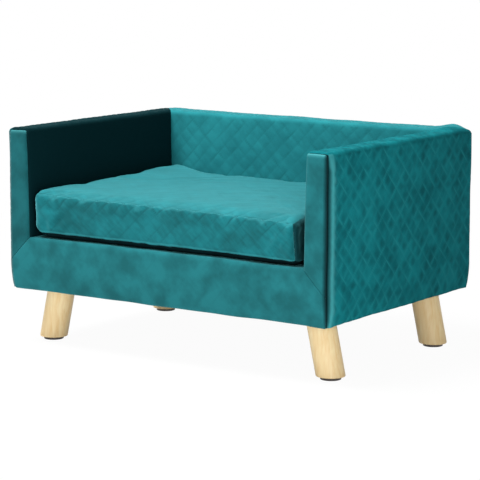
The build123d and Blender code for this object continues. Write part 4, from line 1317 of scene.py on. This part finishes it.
back_ends = (-WELL_HALF, WELL_HALF), (0, OVER_BACK - PAD_DEPTH)
back_padding = make_padding("back_padding", partial(back_surface, inset=PAD_DEPTH), *back_ends)
under = [place_padding(back_padding, "back_pad"), "back_board"]
back = make_back_cover("back_upholstery")
place_cover(back, [back_velvet], "back_cover", BACK_CUT, under, area=BACK_AREA)
outer_back = make_outer_back("outer_back_upholstery")
place_cover(outer_back, [outer_velvet], "outer_back_cover", OUTER_CUT, ["back_board"])

for piece, material, slot, replaced, board in (
    (make_deck_lining("seat_deck_lining"), lining, "lining_cloth", "seat_deck_cloth", "seat_deck"),
    (make_dust_cover("underside_dust_cover"), nonwoven, "dust_cloth", "dust_cover", "base_board"),
):
    place_piece(piece, [material], "sofa", slot, replaced)

core = make_cushion_filling("cushion_foam_core", CORE_INSET)
place_piece(core, [foam], "cushion", "foam", "cushion_foam")
wrap = make_cushion_filling("cushion_wadding_wrap", WRAP_INSET, WRAP_WALL)
place_piece(wrap, [wadding], "cushion", "wadding", "cushion_wadding")
cushion = make_cushion_cover("cushion_top_cover")
place_piece(cushion, [seat_velvet, painted_shade_velvet], "cushion", "cushion_velvet", "cushion_cover")
# The base takes the dark velvet copy: painted shade in the gap under the cushion
cushion_base = make_cushion_base("cushion_base_cloth")
place_piece(cushion_base, [painted_shade_velvet], "cushion", "cushion_velvet", "cushion_base")
tapes = make_zip_tapes("zip_woven_tapes")
place_piece(tapes, [tape_cloth], "cushion", "zip_tape", "zip_tapes")
place_piece(make_zip_coils("zip_spirals"), [coil_nylon], "cushion", "zip_coil", "zip_coils")


# Floor, light and camera
WHITE = (1.0, 1.0, 1.0, 1.0)
FLOOR_HALF = 6.0
FLOOR_FADE = {1: 0.6, 2: 1.6, 3: 0.96, 4: 1.0}
WORLD_LIGHT = 0.27
LAMPS = (("key", (-0.8, -1.0, 3.2), 1.4, 147), ("fill", (1.5, -1.6, 0.36), 0.7, 13.2))


def seen_directly(tree):
    """One for the rays of the camera, of reflections and of transmission, else none."""
    light = node(tree, "LightPath").outputs
    seen = light["Is Camera Ray"]
    for ray in ("Is Glossy Ray", "Is Transmission Ray"):
        seen = node(tree, "Math", {0: seen, 1: light[ray]}, operation="MAXIMUM").outputs[0]
    return seen


def make_floor():
    """A pale floor that fades into the white background away from the sofa."""
    turns = ((-1, -1), (1, -1), (1, 1), (-1, 1))
    mesh = bpy.data.meshes.new("floor")
    mesh.from_pydata([(x * FLOOR_HALF, y * FLOOR_HALF, 0) for x, y in turns], [], [(0, 1, 2, 3)])
    floor = add_object("floor", mesh)
    made, tree, shader, place = new_material("matt white floor paint")
    feed(tree, shader, {"Base Color": "#F4F4F4", "Roughness": 0.9, "Specular IOR Level": 0.1})
    distance = node(tree, "VectorMath", {0: place}, operation="LENGTH").outputs["Value"]
    fading = {0: distance, **FLOOR_FADE}
    fade = node(tree, "MapRange", fading, interpolation_type="SMOOTHSTEP")
    share = node(tree, "Math", {0: fade, 1: seen_directly(tree)}, operation="MULTIPLY")
    white = node(tree, "Emission", {"Color": WHITE, "Strength": 1.0})
    both = node(tree, "MixShader", {0: share, 1: shader, 2: white})
    output = next(n for n in tree.nodes if n.type == "OUTPUT_MATERIAL")
    feed(tree, output, {"Surface": both})
    floor.data.materials.append(made)


def make_world(strength):
    """White to the camera and in reflections, and a soft even light of the given strength."""
    world = bpy.data.worlds.new("studio")
    world.use_nodes = True
    tree = world.node_tree
    background = next(n for n in tree.nodes if n.type == "BACKGROUND")
    level = node(tree, "MapRange", {0: seen_directly(tree), 3: strength, 4: 1.0})
    feed(tree, background, {"Color": WHITE, "Strength": level})
    bpy.context.scene.world = world


def make_lamp(name, place, size, watts):
    """A soft square lamp aimed at the sofa's middle."""
    lamp = bpy.data.lights.new(name, "AREA")
    lamp.size = size
    lamp.energy = watts
    made = add_object(name, lamp)
    made.location = place
    aim = Vector((0, 0, SEAT)) - made.location
    made.rotation_euler = aim.to_track_quat("-Z", "Y").to_euler()


# The camera's place, fitted to the photograph
CAMERA_AZIMUTH = 34.79
CAMERA_ELEVATION = 8.90
CAMERA_ROLL = 0.096
CAMERA_DISTANCE = 3.771
CAMERA_TARGET = (-0.0003, 0.0, 0.1775)
CAMERA_LENS = 165.99


def make_camera():
    """Places the camera round its target by azimuth and elevation and rolls it."""
    turn, rise = math.radians(CAMERA_AZIMUTH), math.radians(CAMERA_ELEVATION)
    level = math.cos(rise)
    back = Vector((math.sin(turn) * level, -math.cos(turn) * level, math.sin(rise)))
    data = bpy.data.cameras.new("camera")
    data.lens = CAMERA_LENS
    camera = add_object("camera", data)
    camera.location = Vector(CAMERA_TARGET) + back * CAMERA_DISTANCE
    aim = (-back).to_track_quat("-Z", "Y").to_matrix().to_4x4()
    roll = Matrix.Rotation(math.radians(CAMERA_ROLL), 4, "Z")
    camera.rotation_euler = (aim @ roll).to_euler()
    bpy.context.scene.camera = camera


make_floor()
make_world(WORLD_LIGHT)
for lamp in LAMPS:
    make_lamp(*lamp)
make_camera()
bpy.context.scene.view_settings.view_transform = "Standard"
